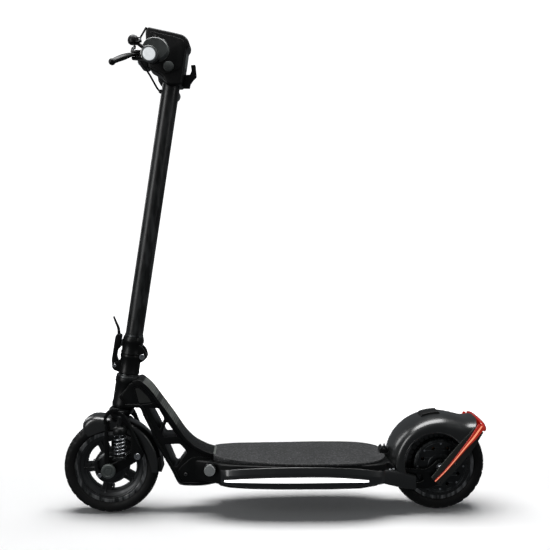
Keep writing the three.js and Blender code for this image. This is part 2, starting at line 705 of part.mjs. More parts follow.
put('display_lens', plate([
  [-291.6, 1158], [-291.6, 1155.7], [-238.4, 1144.6], [-238.4, 1146.9],
], -26.7, 26.7), 'glass');

const headlightBody = plate([
  [-303.9, 1108], [-298.6, 1068], [-316, 1070], [-325, 1084], [-325, 1104], [-317, 1112],
], -22, 22);
const lensRoom = plate([[-330, 1078], [-319, 1078], [-319, 1107], [-330, 1107]], -17, 17);
put('headlight_housing', cut(headlightBody, lensRoom), 'dark');
put('headlight_lens', plate([
  [-325.5, 1080], [-326.6, 1086], [-326.6, 1101], [-325, 1105], [-319.3, 1106.4], [-319.3, 1078.4],
], -16.7, 16.7), 'white');

const BAR_DIRECTION = new THREE.Vector3(
  BAR_END[0] - BAR_X,
  BAR_END[1] - BAR_BEND_Y,
  BAR_END[2] - BAR_Z,
).normalize();

// Point on the left (-1) or right (+1) half of the handlebar, a distance past the bend.
function barPoint(side, distance) {
  return [
    BAR_X + BAR_DIRECTION.x * distance,
    side * (BAR_BEND_Y + BAR_DIRECTION.y * distance),
    BAR_Z + BAR_DIRECTION.z * distance,
  ];
}

const BAR_LENGTH = new THREE.Vector3(
  BAR_END[0] - BAR_X,
  BAR_END[1] - BAR_BEND_Y,
  BAR_END[2] - BAR_Z,
).length();

function alongBar(side, from, to, radius, sides) {
  return rod(barPoint(side, from), barPoint(side, to), radius, sides);
}

function sleeve(side, from, to, radius, sides) {
  return cut(alongBar(side, from, to, radius, sides), alongBar(side, from - 5, to + 5, BAR_RADIUS + GAP, 18));
}

put('handlebar', join(
  rodY(BAR_X, BAR_Z, BAR_RADIUS, -BAR_BEND_Y, BAR_BEND_Y, 14),
  ...[-1, 1].map((side) => join(
    alongBar(side, 0, BAR_LENGTH - 14, BAR_RADIUS, 14),
    ball(BAR_X, side * BAR_BEND_Y, BAR_Z, BAR_RADIUS, 14),
  )),
), 'satin');

for (const side of [-1, 1]) {
  const name = side < 0 ? 'left' : 'right';
  put(`grip_${name}`, sleeve(side, 82, BAR_LENGTH - 13, 16.5, 18), 'rubber');
  const cup = alongBar(side, BAR_LENGTH - 12.4, BAR_LENGTH, 17, 18);
  put(`bar_lamp_${name}`, cup, 'white');
}

// Left side: switch pod, brake perch and lever, bell
function makeSwitchPod() {
  const ring = sleeve(-1, 5, 27, 18, 18);
  const cap = plate([
    [-306, 1086], [-305, 1104], [-297, 1117], [-282, 1124], [-262, 1121.5], [-248, 1111],
    [-243, 1096], [-250, 1080], [-266, 1071], [-290, 1072],
  ], -88, -66);
  const joined = join(ring, cap);
  return cut(
    joined,
    alongBar(-1, 0, 34, BAR_RADIUS + GAP, 18),
    rod([-258.3, -78, 1111.85], [-250.2, -78, 1122.65], 4.6, 16),
    block(-279, -270, -83, -73, 1121, 1130),
  );
}
put('switch_pod', makeSwitchPod(), 'dark');
put('power_button', rod([-256.8, -78, 1113.85], [-253.44, -78, 1118.33], 4.3, 16), 'dark');
put('turn_switch', block(-277.5, -271.5, -81, -75, 1121.4, 1128), 'metal');

function makeBrakePerch() {
  const ring = sleeve(-1, 52, 70, 15.5, 18);
  const arm = slab([[-280, -110], [-280, -126], [-308, -127], [-322, -124], [-322, -112], [-308, -109]],
    1064, 1084);
  const slot = block(-340, -303, -140, -100, 1070, 1078);
  const room = alongBar(-1, 40, 82, BAR_RADIUS + GAP, 18);
  return cut(join(ring, arm), slot, room);
}
put('brake_perch', makeBrakePerch(), 'satin');

function makeBrakeLever() {
  const blade = sweep([
    [-313, -118, 1074], [-324, -131, 1071.5], [-333, -160, 1060], [-342, -182, 1050],
    [-349, -199, 1041.5],
  ], 4.6, 10, 6);
  const root = cut(
    slab([[-320, -112], [-306, -112], [-306, -124], [-320, -124]], 1070.4, 1077.6),
    rod([-313, -118, 1060], [-313, -118, 1090], 2.8, 14),
  );
  const trimmed = cut(
    blade,
    block(-326, -300, -131, -100, 1077.6, 1085),
    block(-326, -300, -131, -100, 1060, 1070.4),
    rod([-313, -118, 1060], [-313, -118, 1090], 2.8, 14),
  );
  return join(trimmed, root, ball(-349.5, -201, 1040.5, 7, 14));
}
put('brake_lever', makeBrakeLever(), 'satin');

function makeBell() {
  const ring = sleeve(-1, 32, 42, 15, 18);
  const post = rod([-284, -96, 1086], [-317, -99, 1108], 4, 12);
  const profile = [
    [0, 1107], [11, 1107], [12.5, 1110], [11.5, 1116], [8, 1121], [0, 1123.5],
  ].map(([r, z]) => new THREE.Vector2(r, z));
  const geometry = new THREE.LatheGeometry(profile, 18);
  geometry.rotateX(Math.PI / 2);
  geometry.translate(-321, -99, 0);
  const room = alongBar(-1, 20, 60, BAR_RADIUS + GAP, 18);
  const strikerArm = slab([
    [-317, -94], [-301, -106], [-301, -112], [-307, -112], [-323, -103],
  ], 1105, 1108.5);
  return join(cut(join(ring, post), room), strikerArm, toSolid(geometry));
}
put('bell', makeBell(), 'metal');
put('bell_striker', join(
  rod([-304, -109, 1108.8], [-304, -109, 1116], 2.4, 12),
  rod([-304, -109, 1114], [-314, -113.8, 1113], 1.5, 8),
  ball(-314, -113.8, 1113, 2.8, 10),
  rod([-304, -109, 1114.5], [-291, -107, 1137], 2.6, 10),
), 'dark');

// Right side: throttle
put('throttle_housing', sleeve(1, 60, 80, 18, 18), 'dark');
function makeThrottleLever() {
  const ring = sleeve(1, 44, 59, 15.5, 18);
  const centre = barPoint(1, 51.5);
  const paddleRoot = [centre[0] + 11, centre[1], centre[2] - 8];
  const paddle = rod(paddleRoot, [centre[0] + 32, centre[1] - 4, centre[2] - 20], 5, 12, 7);
  return join(ring, cut(paddle, alongBar(1, 30, 70, BAR_RADIUS + GAP, 18)));
}
put('throttle_lever', makeThrottleLever(), 'dark');

put('brake_cable', sweep([
  [-320, -109, 1089], [-317, -96, 1084], [-306, -76, 1066], [-295, -46, 1050], [-287, -22, 1035],
  [-281, -7, 1024], [-275.6, -1, 1018],
], 2.4, 16, 6), 'rubber');

put('stem_hook', plate([
  [-216.3, 1056.5], [-203.5, 1056.5], [-199.5, 1066], [-201.5, 1079], [-190.5, 1080],
  [-188, 1052], [-196, 1044], [-203, 1034], [-204, 1025], [-220.2, 1025], [-220.4, 1028.5],
], -6, 6), 'dark');

export default scooter;
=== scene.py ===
import json
import math

import bmesh
import bpy
from mathutils import Matrix, Vector


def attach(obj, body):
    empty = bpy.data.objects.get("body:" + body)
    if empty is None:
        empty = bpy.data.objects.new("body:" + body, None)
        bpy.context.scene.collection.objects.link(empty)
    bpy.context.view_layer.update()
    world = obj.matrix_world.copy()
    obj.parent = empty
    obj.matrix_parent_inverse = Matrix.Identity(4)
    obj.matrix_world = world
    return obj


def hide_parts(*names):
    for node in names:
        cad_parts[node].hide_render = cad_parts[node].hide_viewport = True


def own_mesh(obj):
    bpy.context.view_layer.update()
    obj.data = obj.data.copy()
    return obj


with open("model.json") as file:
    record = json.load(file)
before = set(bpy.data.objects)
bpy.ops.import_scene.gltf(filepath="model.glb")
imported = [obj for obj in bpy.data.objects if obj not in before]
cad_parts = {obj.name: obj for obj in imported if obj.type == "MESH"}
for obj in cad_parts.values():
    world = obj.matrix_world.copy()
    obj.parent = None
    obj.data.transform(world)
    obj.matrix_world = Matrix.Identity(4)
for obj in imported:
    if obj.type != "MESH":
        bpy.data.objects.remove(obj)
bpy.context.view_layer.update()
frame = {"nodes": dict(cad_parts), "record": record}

# All lengths below are in millimetres unless a name says otherwise.
MM = 0.001
AXLE_X = 400
AXLE_Z = 114.5
LINK_PIVOT = (-331, 150)
LEAN_U = Vector((0.987688, 0, -0.156434))
LEAN_S = Vector((0.156434, 0, 0.987688))
LEAN_ORIGIN = Vector((-412, 0, 0))
SIDES = ((-1, "left"), (1, "right"))
FRONT_CENTRE = (-AXLE_X, 0, AXLE_Z)
REAR_CENTRE = (AXLE_X, 0, AXLE_Z)
NECK_HALF_WIDTH = 35
CHARGE_PORT = (-158, 0, 120)
STAND_PIVOT = (-160, 0, 93)
SPRING_X = -372
SPRING_Y = 48
FOLD_PIN = (-322, 383)
ARCH_CENTRE = Vector((383, 128))
ARCH_RADIUS = 76
FAIRING_START = -132
FAIRING_END = 262
LIGHT_START = -123
LIGHT_END = 217
COIL_TURNS = 5.6
COIL_STEPS = 40
TYRE_STEPS = 330
DECK_PLAN = [(-214, 30), (-186, 36), (-158, 48), (-134, 66), (-100, 78), (-50, 85), (10, 89.5), (70, 91.5),
    (130, 91.5), (180, 89.5), (222, 85), (250, 77), (268, 66)]
MAT_PLAN = [(-149.7, 45), (-134, 56), (-100, 70), (-50, 80), (10, 88), (70, 92), (130, 92.5), (178, 90),
    (212, 84), (238, 72), (256, 55), (265, 34)]


# ------------------------------------------------------------------ materials
def ramp(tree, source, stops):
    node = tree.nodes.new("ShaderNodeValToRGB")
    tree.links.new(source, node.inputs[0])
    first, last = node.color_ramp.elements
    first.position, first.color = stops[0][0], (*stops[0][1], 1)
    last.position, last.color = stops[-1][0], (*stops[-1][1], 1)
    for place, color in stops[1:-1]:
        node.color_ramp.elements.new(place).color = (*color, 1)
    return node.outputs["Color"]


def noise(tree, vector, scale, detail=3.0, stretch=None):
    if stretch:
        mapping = tree.nodes.new("ShaderNodeMapping")
        mapping.inputs["Scale"].default_value = stretch
        tree.links.new(vector, mapping.inputs["Vector"])
        vector = mapping.outputs["Vector"]
    node = tree.nodes.new("ShaderNodeTexNoise")
    node.inputs["Scale"].default_value = scale
    node.inputs["Detail"].default_value = detail
    tree.links.new(vector, node.inputs["Vector"])
    return node.outputs["Fac"]


def spread(tree, source, low, high):
    node = tree.nodes.new("ShaderNodeMapRange")
    node.inputs["From Min"].default_value = 0.3
    node.inputs["From Max"].default_value = 0.7
    node.inputs["To Min"].default_value = low
    node.inputs["To Max"].default_value = high
    tree.links.new(source, node.inputs["Value"])
    return node.outputs["Result"]


def mix(tree, factor, first, second, kind="MIX"):
    node = tree.nodes.new("ShaderNodeMix")
    node.data_type = "RGBA"
    node.blend_type = kind
    if isinstance(factor, float):
        node.inputs[0].default_value = factor
    else:
        tree.links.new(factor, node.inputs[0])
    tree.links.new(first, node.inputs[6])
    tree.links.new(second, node.inputs[7])
    return node.outputs[2]


def bump(tree, height, strength, distance, normal=None):
    node = tree.nodes.new("ShaderNodeBump")
    node.inputs["Strength"].default_value = strength
    node.inputs["Distance"].default_value = distance
    tree.links.new(height, node.inputs["Height"])
    if normal is not None:
        tree.links.new(normal, node.inputs["Normal"])
    return node.outputs["Normal"]


def shade(color, amount):
    return tuple(min(1.0, c * amount) for c in color)


def surface(name, color, rough, metal=0.0, coat=0.0, coat_rough=0.08, grain=900.0, grain_depth=0.2,
        mottle=0.22, uneven=0.07, wear=None, stretch=None, specular=0.5):
    """A painted, moulded or machined surface with grain, blotches of wear and lighter edges."""
    look = bpy.data.materials.new(name)
    look.use_nodes = True
    tree = look.node_tree
    shader = tree.nodes["Principled BSDF"]
    place = tree.nodes.new("ShaderNodeTexCoord").outputs["Object"]
    broad = noise(tree, place, 16.0, 5.0)
    fine = noise(tree, place, grain, 2.0, stretch)
    marks = noise(tree, place, 90.0, 6.0, (1.0, 1.0, 0.25))
    tint = ramp(tree, broad, [(0.3, shade(color, 1 - mottle)), (0.7, shade(color, 1 + mottle))])
    if wear:
        edges = tree.nodes.new("ShaderNodeNewGeometry").outputs["Pointiness"]
        worn = ramp(tree, edges, [(0.52, (0, 0, 0)), (0.6, (1, 1, 1))])
        spots = ramp(tree, marks, [(0.42, (0, 0, 0)), (0.62, (1, 1, 1))])
        amount = mix(tree, 1.0, worn, spots, "MULTIPLY")
        bare = ramp(tree, fine, [(0.0, shade(wear, 0.85)), (1.0, wear)])
        tint = mix(tree, amount, tint, bare)
    tree.links.new(tint, shader.inputs["Base Color"])
    tree.links.new(spread(tree, marks, rough - uneven, rough + uneven), shader.inputs["Roughness"])
    tree.links.new(bump(tree, fine, grain_depth, 0.0003), shader.inputs["Normal"])
    shader.inputs["Metallic"].default_value = metal
    shader.inputs["Coat Weight"].default_value = coat
    shader.inputs["Coat Roughness"].default_value = coat_rough
    shader.inputs["Specular IOR Level"].default_value = specular
    return look


def mat_rubber():
    """Deck rubber: dark base with pale flecks and a raised cell pattern, with painted shade in the low ground
    between the cells.
    """
    look = bpy.data.materials.new("look_deck_rubber")
    look.use_nodes = True
    tree = look.node_tree
    shader = tree.nodes["Principled BSDF"]
    place = tree.nodes.new("ShaderNodeTexCoord").outputs["Object"]
    broad = noise(tree, place, 12.0, 5.0)
    base = ramp(tree, broad, [(0.3, (0.026, 0.027, 0.028)), (0.7, (0.046, 0.047, 0.049))])
    cells = tree.nodes.new("ShaderNodeTexVoronoi")
    cells.inputs["Scale"].default_value = 170.0
    tree.links.new(place, cells.inputs["Vector"])
    flecks = noise(tree, place, 420.0, 2.0)
    pale = ramp(tree, flecks, [(0.55, (0, 0, 0)), (0.66, (1, 1, 1))])
    fleck_color = ramp(tree, broad, [(0.2, (0.13, 0.135, 0.14)), (0.8, (0.2, 0.2, 0.205))])
    # Painted shade: this cell mask raises the cells and also darkens the colour in the low ground between
    # them.
    cell_rise_and_shade = ramp(tree, cells.outputs["Distance"], [(0.15, (1, 1, 1)), (0.6, (0.35, 0.35, 0.35))])
    tint = mix(tree, pale, base, fleck_color)
    tree.links.new(mix(tree, 0.8, tint, cell_rise_and_shade, "MULTIPLY"), shader.inputs["Base Color"])
    tree.links.new(spread(tree, flecks, 0.55, 0.8), shader.inputs["Roughness"])
    raised = bump(tree, cell_rise_and_shade, 0.7, 0.0011)
    tree.links.new(bump(tree, flecks, 0.4, 0.0005, raised), shader.inputs["Normal"])
    shader.inputs["Specular IOR Level"].default_value = 0.45
    return look


def glow(name, core, rim, strength, base):
    """A lit diffuser: bright in the middle of the surface, deeper where it turns away."""
    look = bpy.data.materials.new(name)
    look.use_nodes = True
    tree = look.node_tree
    shader = tree.nodes["Principled BSDF"]
    place = tree.nodes.new("ShaderNodeTexCoord").outputs["Object"]
    facing = tree.nodes.new("ShaderNodeLayerWeight")
    facing.inputs["Blend"].default_value = 0.35
    light = ramp(tree, facing.outputs["Facing"], [(0.1, core), (0.75, rim)])
    ribs = noise(tree, place, 260.0, 2.0)
    veil = ramp(tree, ribs, [(0.3, (0.86, 0.86, 0.86)), (0.7, (1, 1, 1))])
    tree.links.new(mix(tree, 1.0, light, veil, "MULTIPLY"), shader.inputs["Emission Color"])
    tree.links.new(ramp(tree, ribs, [(0.3, shade(base, 0.9)), (0.7, base)]), shader.inputs["Base Color"])
    tree.links.new(spread(tree, ribs, 0.12, 0.24), shader.inputs["Roughness"])
    tree.links.new(bump(tree, ribs, 0.25, 0.0003), shader.inputs["Normal"])
    shader.inputs["Emission Strength"].default_value = strength
    shader.inputs["Coat Weight"].default_value = 0.6
    return look


LOOKS = {"satin_black": surface("look_satin_black", (0.0042, 0.0046, 0.0047), 0.34, grain_depth=0.16,
    wear=(0.035, 0.037, 0.038), specular=0.26), "dark_metal": surface("look_dark_metal",
    (0.035, 0.037, 0.038), 0.36, metal=0.7, wear=(0.2, 0.21, 0.21)),
    "steel": surface("look_steel", (0.42, 0.43, 0.45), 0.26, metal=1.0, grain=600.0,
    wear=(0.7, 0.71, 0.73)), "dark_plastic": surface("look_dark_plastic", (0.005, 0.0053, 0.0055), 0.42,
    specular=0.26, grain=1400.0, grain_depth=0.32), "battery_wrap": surface("look_battery_wrap",
    (0.03, 0.09, 0.25), 0.3, coat=0.3), "aluminium": surface("look_aluminium", (0.5, 0.51, 0.53), 0.38,
    metal=1.0, stretch=(0.05, 1.0, 1.0)), "deck_rubber": mat_rubber(),
    "gloss_charcoal": surface("look_gloss_charcoal", (0.010, 0.011, 0.011), 0.32, coat=0.85, coat_rough=0.2,
    grain_depth=0.05, mottle=0.12, uneven=0.04, specular=0.6), "white_light": glow("look_white_light",
    (1.0, 1.0, 1.0), (0.75, 0.85, 1.0), 2.6, (0.9, 0.93, 0.97)), "grey_cap": surface("look_grey_cap",
    (0.72, 0.74, 0.73), 0.4, grain=1200.0), "red_light": glow("look_red_light", (0.62, 0.03, 0.014),
    (0.3, 0.008, 0.005), 0.5, (0.3, 0.012, 0.008)), "tyre_rubber": surface("look_tyre_rubber",
    (0.0048, 0.0048, 0.005), 0.6, specular=0.3, grain=700.0, grain_depth=0.45, mottle=0.35, uneven=0.12,
    wear=(0.05, 0.05, 0.049)), "rim_grey": surface("look_rim_grey", (0.022, 0.0235, 0.024), 0.34, metal=0.3,
    coat=0.2, wear=(0.15, 0.155, 0.16)), "copper": surface("look_copper", (0.5, 0.24, 0.1), 0.3, metal=1.0,
    stretch=(1.0, 8.0, 1.0)), "display_glass": surface("look_display_glass", (0.01, 0.012, 0.015), 0.08,
    coat=1.0, coat_rough=0.02, grain_depth=0.02, uneven=0.03), "grip_rubber": surface("look_grip_rubber",
    (0.018, 0.018, 0.019), 0.55, grain=1300.0, grain_depth=0.4, uneven=0.1),
    "cable_black": surface("look_cable_black", (0.016, 0.016, 0.017), 0.38, grain=900.0)}
BRIGHT = surface("look_bright_ring", (0.06, 0.063, 0.063), 0.32, metal=0.8, stretch=(1.0, 0.1, 1.0),
    wear=(0.7, 0.7, 0.7))
LAMP_BEZEL = surface("look_lamp_bezel", (0.15, 0.158, 0.155), 0.3, metal=0.6, coat=0.4)
LAMP_LENS = glow("look_lamp_lens", (0.85, 0.88, 0.9), (0.35, 0.4, 0.45), 0.8, (0.6, 0.63, 0.65))
RED_CORE = glow("look_red_core", (1.0, 0.36, 0.2), (0.9, 0.12, 0.05), 1.0, (0.7, 0.16, 0.08))
CAP_GREY = surface("look_cap_grey", (0.17, 0.19, 0.18), 0.42, metal=0.2, mottle=0.1)
RING_GREY = surface("look_ring_grey", (0.055, 0.058, 0.06), 0.4, metal=0.3, mottle=0.15)
# Painted light: a lighter grey-green colour that stands for the top light falling on the neck's top surface.
NECK_TOP_PAINTED_LIGHT = surface("look_neck_top_painted_light", (0.125, 0.133, 0.124), 0.5, grain=1500.0, grain_depth=0.35, mottle=0.12)
POD_SKIN = surface("look_pod_skin", (0.095, 0.104, 0.1), 0.36, grain=1400.0, grain_depth=0.25, mottle=0.12)
INK = surface("look_ink_bolt", (0.03, 0.031, 0.032), 0.3, metal=0.8, wear=(0.2, 0.2, 0.2))
STEM_PAINT = surface("look_stem_paint", (0.008, 0.0086, 0.0086), 0.36, specular=0.4, grain_depth=0.14,
    wear=(0.06, 0.063, 0.065))
OLIVE = surface("look_stay", (0.03, 0.031, 0.026), 0.4, coat=0.4, grain_depth=0.12)


# ----------------------------------------------------------------- shape tools
def dress(name, mesh, body, slot, stands_for=(), look=None, crease=34):
    work = bmesh.new()
    work.from_mesh(mesh)
    bmesh.ops.remove_doubles(work, verts=work.verts, dist=2e-6)
    bmesh.ops.recalc_face_normals(work, faces=work.faces)
    work.to_mesh(mesh)
    work.free()
    mesh.shade_smooth()
    mesh.set_sharp_from_angle(angle=math.radians(crease))
    mesh.materials.clear()
    mesh.materials.append(look or LOOKS[slot])
    item = bpy.data.objects.new(name, mesh)
    bpy.context.scene.collection.objects.link(item)
    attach(item, body)
    if stands_for:
        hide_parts(*stands_for)
    return item


def shape(name, points, faces, body, slot, **more):
    mesh = bpy.data.meshes.new(name)
    mesh.from_pydata([Vector(p) * MM for p in points], [], faces)
    return dress(name, mesh, body, slot, **more)


def rounded(points, radius, steps=5):
    """The closed outline with each corner turned into a short curve."""
    result = []
    for i, point in enumerate(points):
        here = Vector(point[:2])
        before = Vector(points[i - 1][:2]) - here
        after = Vector(points[(i + 1) % len(points)][:2]) - here
        reach = min(radius, before.length * 0.48, after.length * 0.48)
        start = here + before.normalized() * reach
        end = here + after.normalized() * reach
        for k in range(steps + 1):
            t = k / steps
            result.append(start * (1 - t) ** 2 + here * (2 * t * (1 - t)) + end * t * t)
    return result


def lean(u, s, v=0.0):
    """A point by its distance behind (u), along (s) and beside (v) the steering axis."""
    return LEAN_ORIGIN + LEAN_U * u + LEAN_S * s + Vector((0, v, 0))


def plane_matrix(plane, middle):
    if plane == "xz":
        columns, origin = (Vector((1, 0, 0)), Vector((0, 0, 1)), Vector((0, -1, 0))), Vector((0, middle, 0))
    elif plane == "xy":
        columns, origin = (Vector((1, 0, 0)), Vector((0, 1, 0)), Vector((0, 0, 1))), Vector((0, 0, middle))
    elif plane == "lean":
        columns, origin = (LEAN_U, LEAN_S, Vector((0, -1, 0))), LEAN_ORIGIN + Vector((0, middle, 0))
    else:
        columns, origin = (LEAN_U, Vector((0, 1, 0)), LEAN_S), LEAN_ORIGIN + LEAN_S * middle
    matrix = Matrix.Identity(4)
    for i, column in enumerate(columns):
        for row in range(3):
            matrix[row][i] = column[row]
    matrix.translation = origin * MM
    return matrix


def plate(name, outline, low, high, body, slot, holes=(), edge=1.5, radius=4.0, plane="xz", steps=5,
        **more):
    """A flat piece cut to an outline, with holes and rolled edges."""
    curve = bpy.data.curves.new(name, "CURVE")
    curve.dimensions = "2D"
    curve.fill_mode = "BOTH"
    curve.extrude = ((high - low) / 2 - edge) * MM
    curve.bevel_depth = edge * MM
    curve.bevel_resolution = 3
    curve.offset = -edge * MM
    for line in [outline, *holes]:
        points = rounded(line, radius, steps)
        part = curve.splines.new("POLY")
        part.points.add(len(points) - 1)
        for target, point in zip(part.points, points):
            target.co = (point.x * MM, point.y * MM, 0, 1)
        part.use_cyclic_u = True
    line_object = bpy.data.objects.new(name + "_line", curve)
    bpy.context.scene.collection.objects.link(line_object)
    solid = line_object.evaluated_get(bpy.context.evaluated_depsgraph_get())
    mesh = bpy.data.meshes.new_from_object(solid)
    bpy.data.objects.remove(line_object)
    mesh.transform(plane_matrix(plane, (low + high) / 2))
    return dress(name, mesh, body, slot, **more)


def loft(name, rings, body, slot, capped=True, looped=False, **more):
    """A skin over rings of points that all have the same count."""
    count = len(rings[0])
    points = [p for ring in rings for p in ring]
    faces = []
    for i in range(len(rings) if looped else len(rings) - 1):
        a = i * count
        b = ((i + 1) % len(rings)) * count
        for k in range(count):
            n = (k + 1) % count
            faces.append((a + k, a + n, b + n, b + k))
    if capped and not looped:
        faces.append(tuple(range(count)))
        faces.append(tuple(range(len(points) - count, len(points))))
    return shape(name, points, faces, body, slot, **more)


def axes_for(axis):
    w = Vector(axis).normalized()
    guide = Vector((0, 0, 1)) if abs(w.z) < 0.9 else Vector((1, 0, 0))
    u = guide.cross(w).normalized()
    return u, w.cross(u), w


def turn(name, profile, centre, axis, body, slot, sides=96, **more):
    """A turned piece: profile is (radius, height along the axis) and closes on itself or ends on the axis."""
    u, v, w = axes_for(axis)
    centre = Vector(centre)
    closed = tuple(profile[0]) == tuple(profile[-1])
    line = profile[:-1] if closed else profile
    points, faces = [], []
    for i in range(sides):
        angle = 2 * math.pi * i / sides
        side = u * math.cos(angle) + v * math.sin(angle)
        points += [centre + side * r + w * h for r, h in line]
    count = len(line)
    for i in range(sides):
        a, b = i * count, ((i + 1) % sides) * count
        for k in range(count if closed else count - 1):
            n = (k + 1) % count
            faces.append((a + k, a + n, b + n, b + k))
    return shape(name, points, faces, body, slot, **more)


def catmull(points, per):
    points = [Vector(p) for p in points]
    longer = [points[0] * 2 - points[1]] + points + [points[-1] * 2 - points[-2]]
    result = []
    for i in range(1, len(longer) - 2):
        a, b, c, d = longer[i - 1:i + 3]
        for k in range(per):
            t = k / per
            result.append(0.5 * (2 * b + (c - a) * t + (2 * a - 5 * b + 4 * c - d) * t * t
                + (3 * b - a - 3 * c + d) * t ** 3))
    return result + [points[-1]]


def tube(name, points, size, body, slot, up=(0, 0, 1), per=8, sides=18, dome=0.6, **more):
    """A swept bar. size is a radius, or one (width, thickness) pair of half sizes for each point."""
    line = catmull(points, per) if per > 1 else [Vector(p) for p in points]
    if isinstance(size, (int, float)):
        sizes = [Vector((size, size))] * len(line)
    else:
        sizes = catmull([Vector(s) for s in size], per)
    up = Vector(up)
    rings = []

    def ring(centre, along, wide, thick):
        side = along.cross(up).normalized()
        top = side.cross(along).normalized()
        return [centre + side * (wide * math.cos(2 * math.pi * k / sides))
            + top * (thick * math.sin(2 * math.pi * k / sides)) for k in range(sides)]

    last = len(line) - 1
    for i, centre in enumerate(line):
        along = (line[min(i + 1, last)] - line[max(i - 1, 0)]).normalized()
        wide, thick = sizes[i]
        if i == 0 and dome:
            for degrees in (80, 55, 30):
                angle = math.radians(degrees)
                shift = min(wide, thick) * dome * math.sin(angle)
                rings.append(ring(centre - along * shift, along, wide * math.cos(angle),
                    thick * math.cos(angle)))
        rings.append(ring(centre, along, wide, thick))
        if i == last and dome:
            for degrees in (30, 55, 80):
                angle = math.radians(degrees)
                shift = min(wide, thick) * dome * math.sin(angle)
                rings.append(ring(centre + along * shift, along, wide * math.cos(angle),
                    thick * math.cos(angle)))
    return loft(name, rings, body, slot, **more)


def strip(path, thickness, per=8):
    """The outline of a bar whose outer edge follows path and which lies to the right of it."""
    line = [Vector(p[:2]) for p in catmull([(x, z, 0) for x, z in path], per)]
    inner = []
    for i, point in enumerate(line):
        along = (line[min(i + 1, len(line) - 1)] - line[max(i - 1, 0)]).normalized()
        inner.append(point + Vector((along.y, -along.x)) * thickness)
    return line + inner[::-1]


def band(line, widths, per=1):
    """The outline of a strip of changing width along a line."""
    line = catmull([(x, z, w) for (x, z), w in zip(line, widths)], per) if per > 1 else [Vector((x, z, w))
        for (x, z), w in zip(line, widths)]
    left, right = [], []
    for i, (x, z, width) in enumerate(line):
        along = (line[min(i + 1, len(line) - 1)] - line[max(i - 1, 0)]).to_2d().normalized()
        left.append((x - along.y * width / 2, z + along.x * width / 2))
        right.append((x + along.y * width / 2, z - along.x * width / 2))
    return left + right[::-1]


def arc(x, z, radius, start, end, steps):
    angles = [math.radians(start + (end - start) * i / steps) for i in range(steps + 1)]
    return [(x + radius * math.cos(a), z + radius * math.sin(a)) for a in angles]


def across(side, inner, outer):
    """The low and high ends of a span that lies on one side of the scooter."""
    return sorted((side * inner, side * outer))


def both(half):
    return list(half) + [(x, -y) for x, y in reversed(half)]


def between(table, x):
    """The value at x on straight stretches between the rows of a table of (x, value)."""
    if x <= table[0][0]:
        return table[0][1]
    for (x0, y0), (x1, y1) in zip(table, table[1:]):
        if x <= x1:
            t = (x - x0) / (x1 - x0)
            return y0 + (y1 - y0) * t
    return table[-1][1]


def bolt(name, centre, axis, radius, body, slot="steel", height=None, look=None):
    """A socket-head screw with a hexagonal recess."""
    height = height or radius * 0.6
    u, v, w = axes_for(axis)
    centre = Vector(centre)
    rings = []
    for r, h in [(radius, -0.6), (radius, height * 0.75), (radius * 0.9, height)]:
        rings.append([centre + (u * math.cos(math.radians(15 * k)) + v * math.sin(math.radians(15 * k))) * r
            + w * h for k in range(24)])
    for r, h in [(radius * 0.52, height), (radius * 0.5, height * 0.35)]:
        ring = []
        for k in range(24):
            angle = math.radians(15 * k)
            flat = math.cos(math.radians(30)) / math.cos((angle
                + math.radians(30)) % math.radians(60) - math.radians(30))
            ring.append(centre + (u * math.cos(angle) + v * math.sin(angle)) * r * flat + w * h)
        rings.append(ring)
    return loft(name, rings, body, slot, crease=28, look=look)


def hex_nut(name, centre, axis, radius, height, body, slot="steel"):
    u, v, w = axes_for(axis)
    centre = Vector(centre)
    rings = []
    for r, h in [(radius, 0), (radius, height * 0.8), (radius * 0.93, height), (radius * 0.55, height),
            (radius * 0.5, height * 1.5), (0.5, height * 1.6)]:
        ring = []
        for k in range(24):
            angle = math.radians(15 * k)
            flat = math.cos(math.radians(30)) / math.cos((angle
                + math.radians(30)) % math.radians(60) - math.radians(30))
            ring.append(centre + (u * math.cos(angle) + v * math.sin(angle)) * (r * flat if r > radius * 0.9
                else r) + w * h)
        rings.append(ring)
    return loft(name, rings, body, slot, crease=28)


# --------------------------------------------------------------- CAD kept nodes
KEPT_BEVEL = 0.0009
for node_name, node in frame["nodes"].items():
    slot_name = next(s["material_slot"] for s in frame["record"]["subparts"] if s["node"] == node_name)
    node.data.materials.clear()
    node.data.materials.append(LOOKS[slot_name])
    weld = node.modifiers.new("weld", "WELD")
    weld.merge_threshold = 0.00001
    bevel = node.modifiers.new("edges", "BEVEL")
    bevel.width = KEPT_BEVEL
    bevel.segments = 2
    bevel.limit_method = "ANGLE"
    bevel.angle_limit = math.radians(35)
    bevel.harden_normals = True
    for face in node.data.polygons:
        face.use_smooth = True


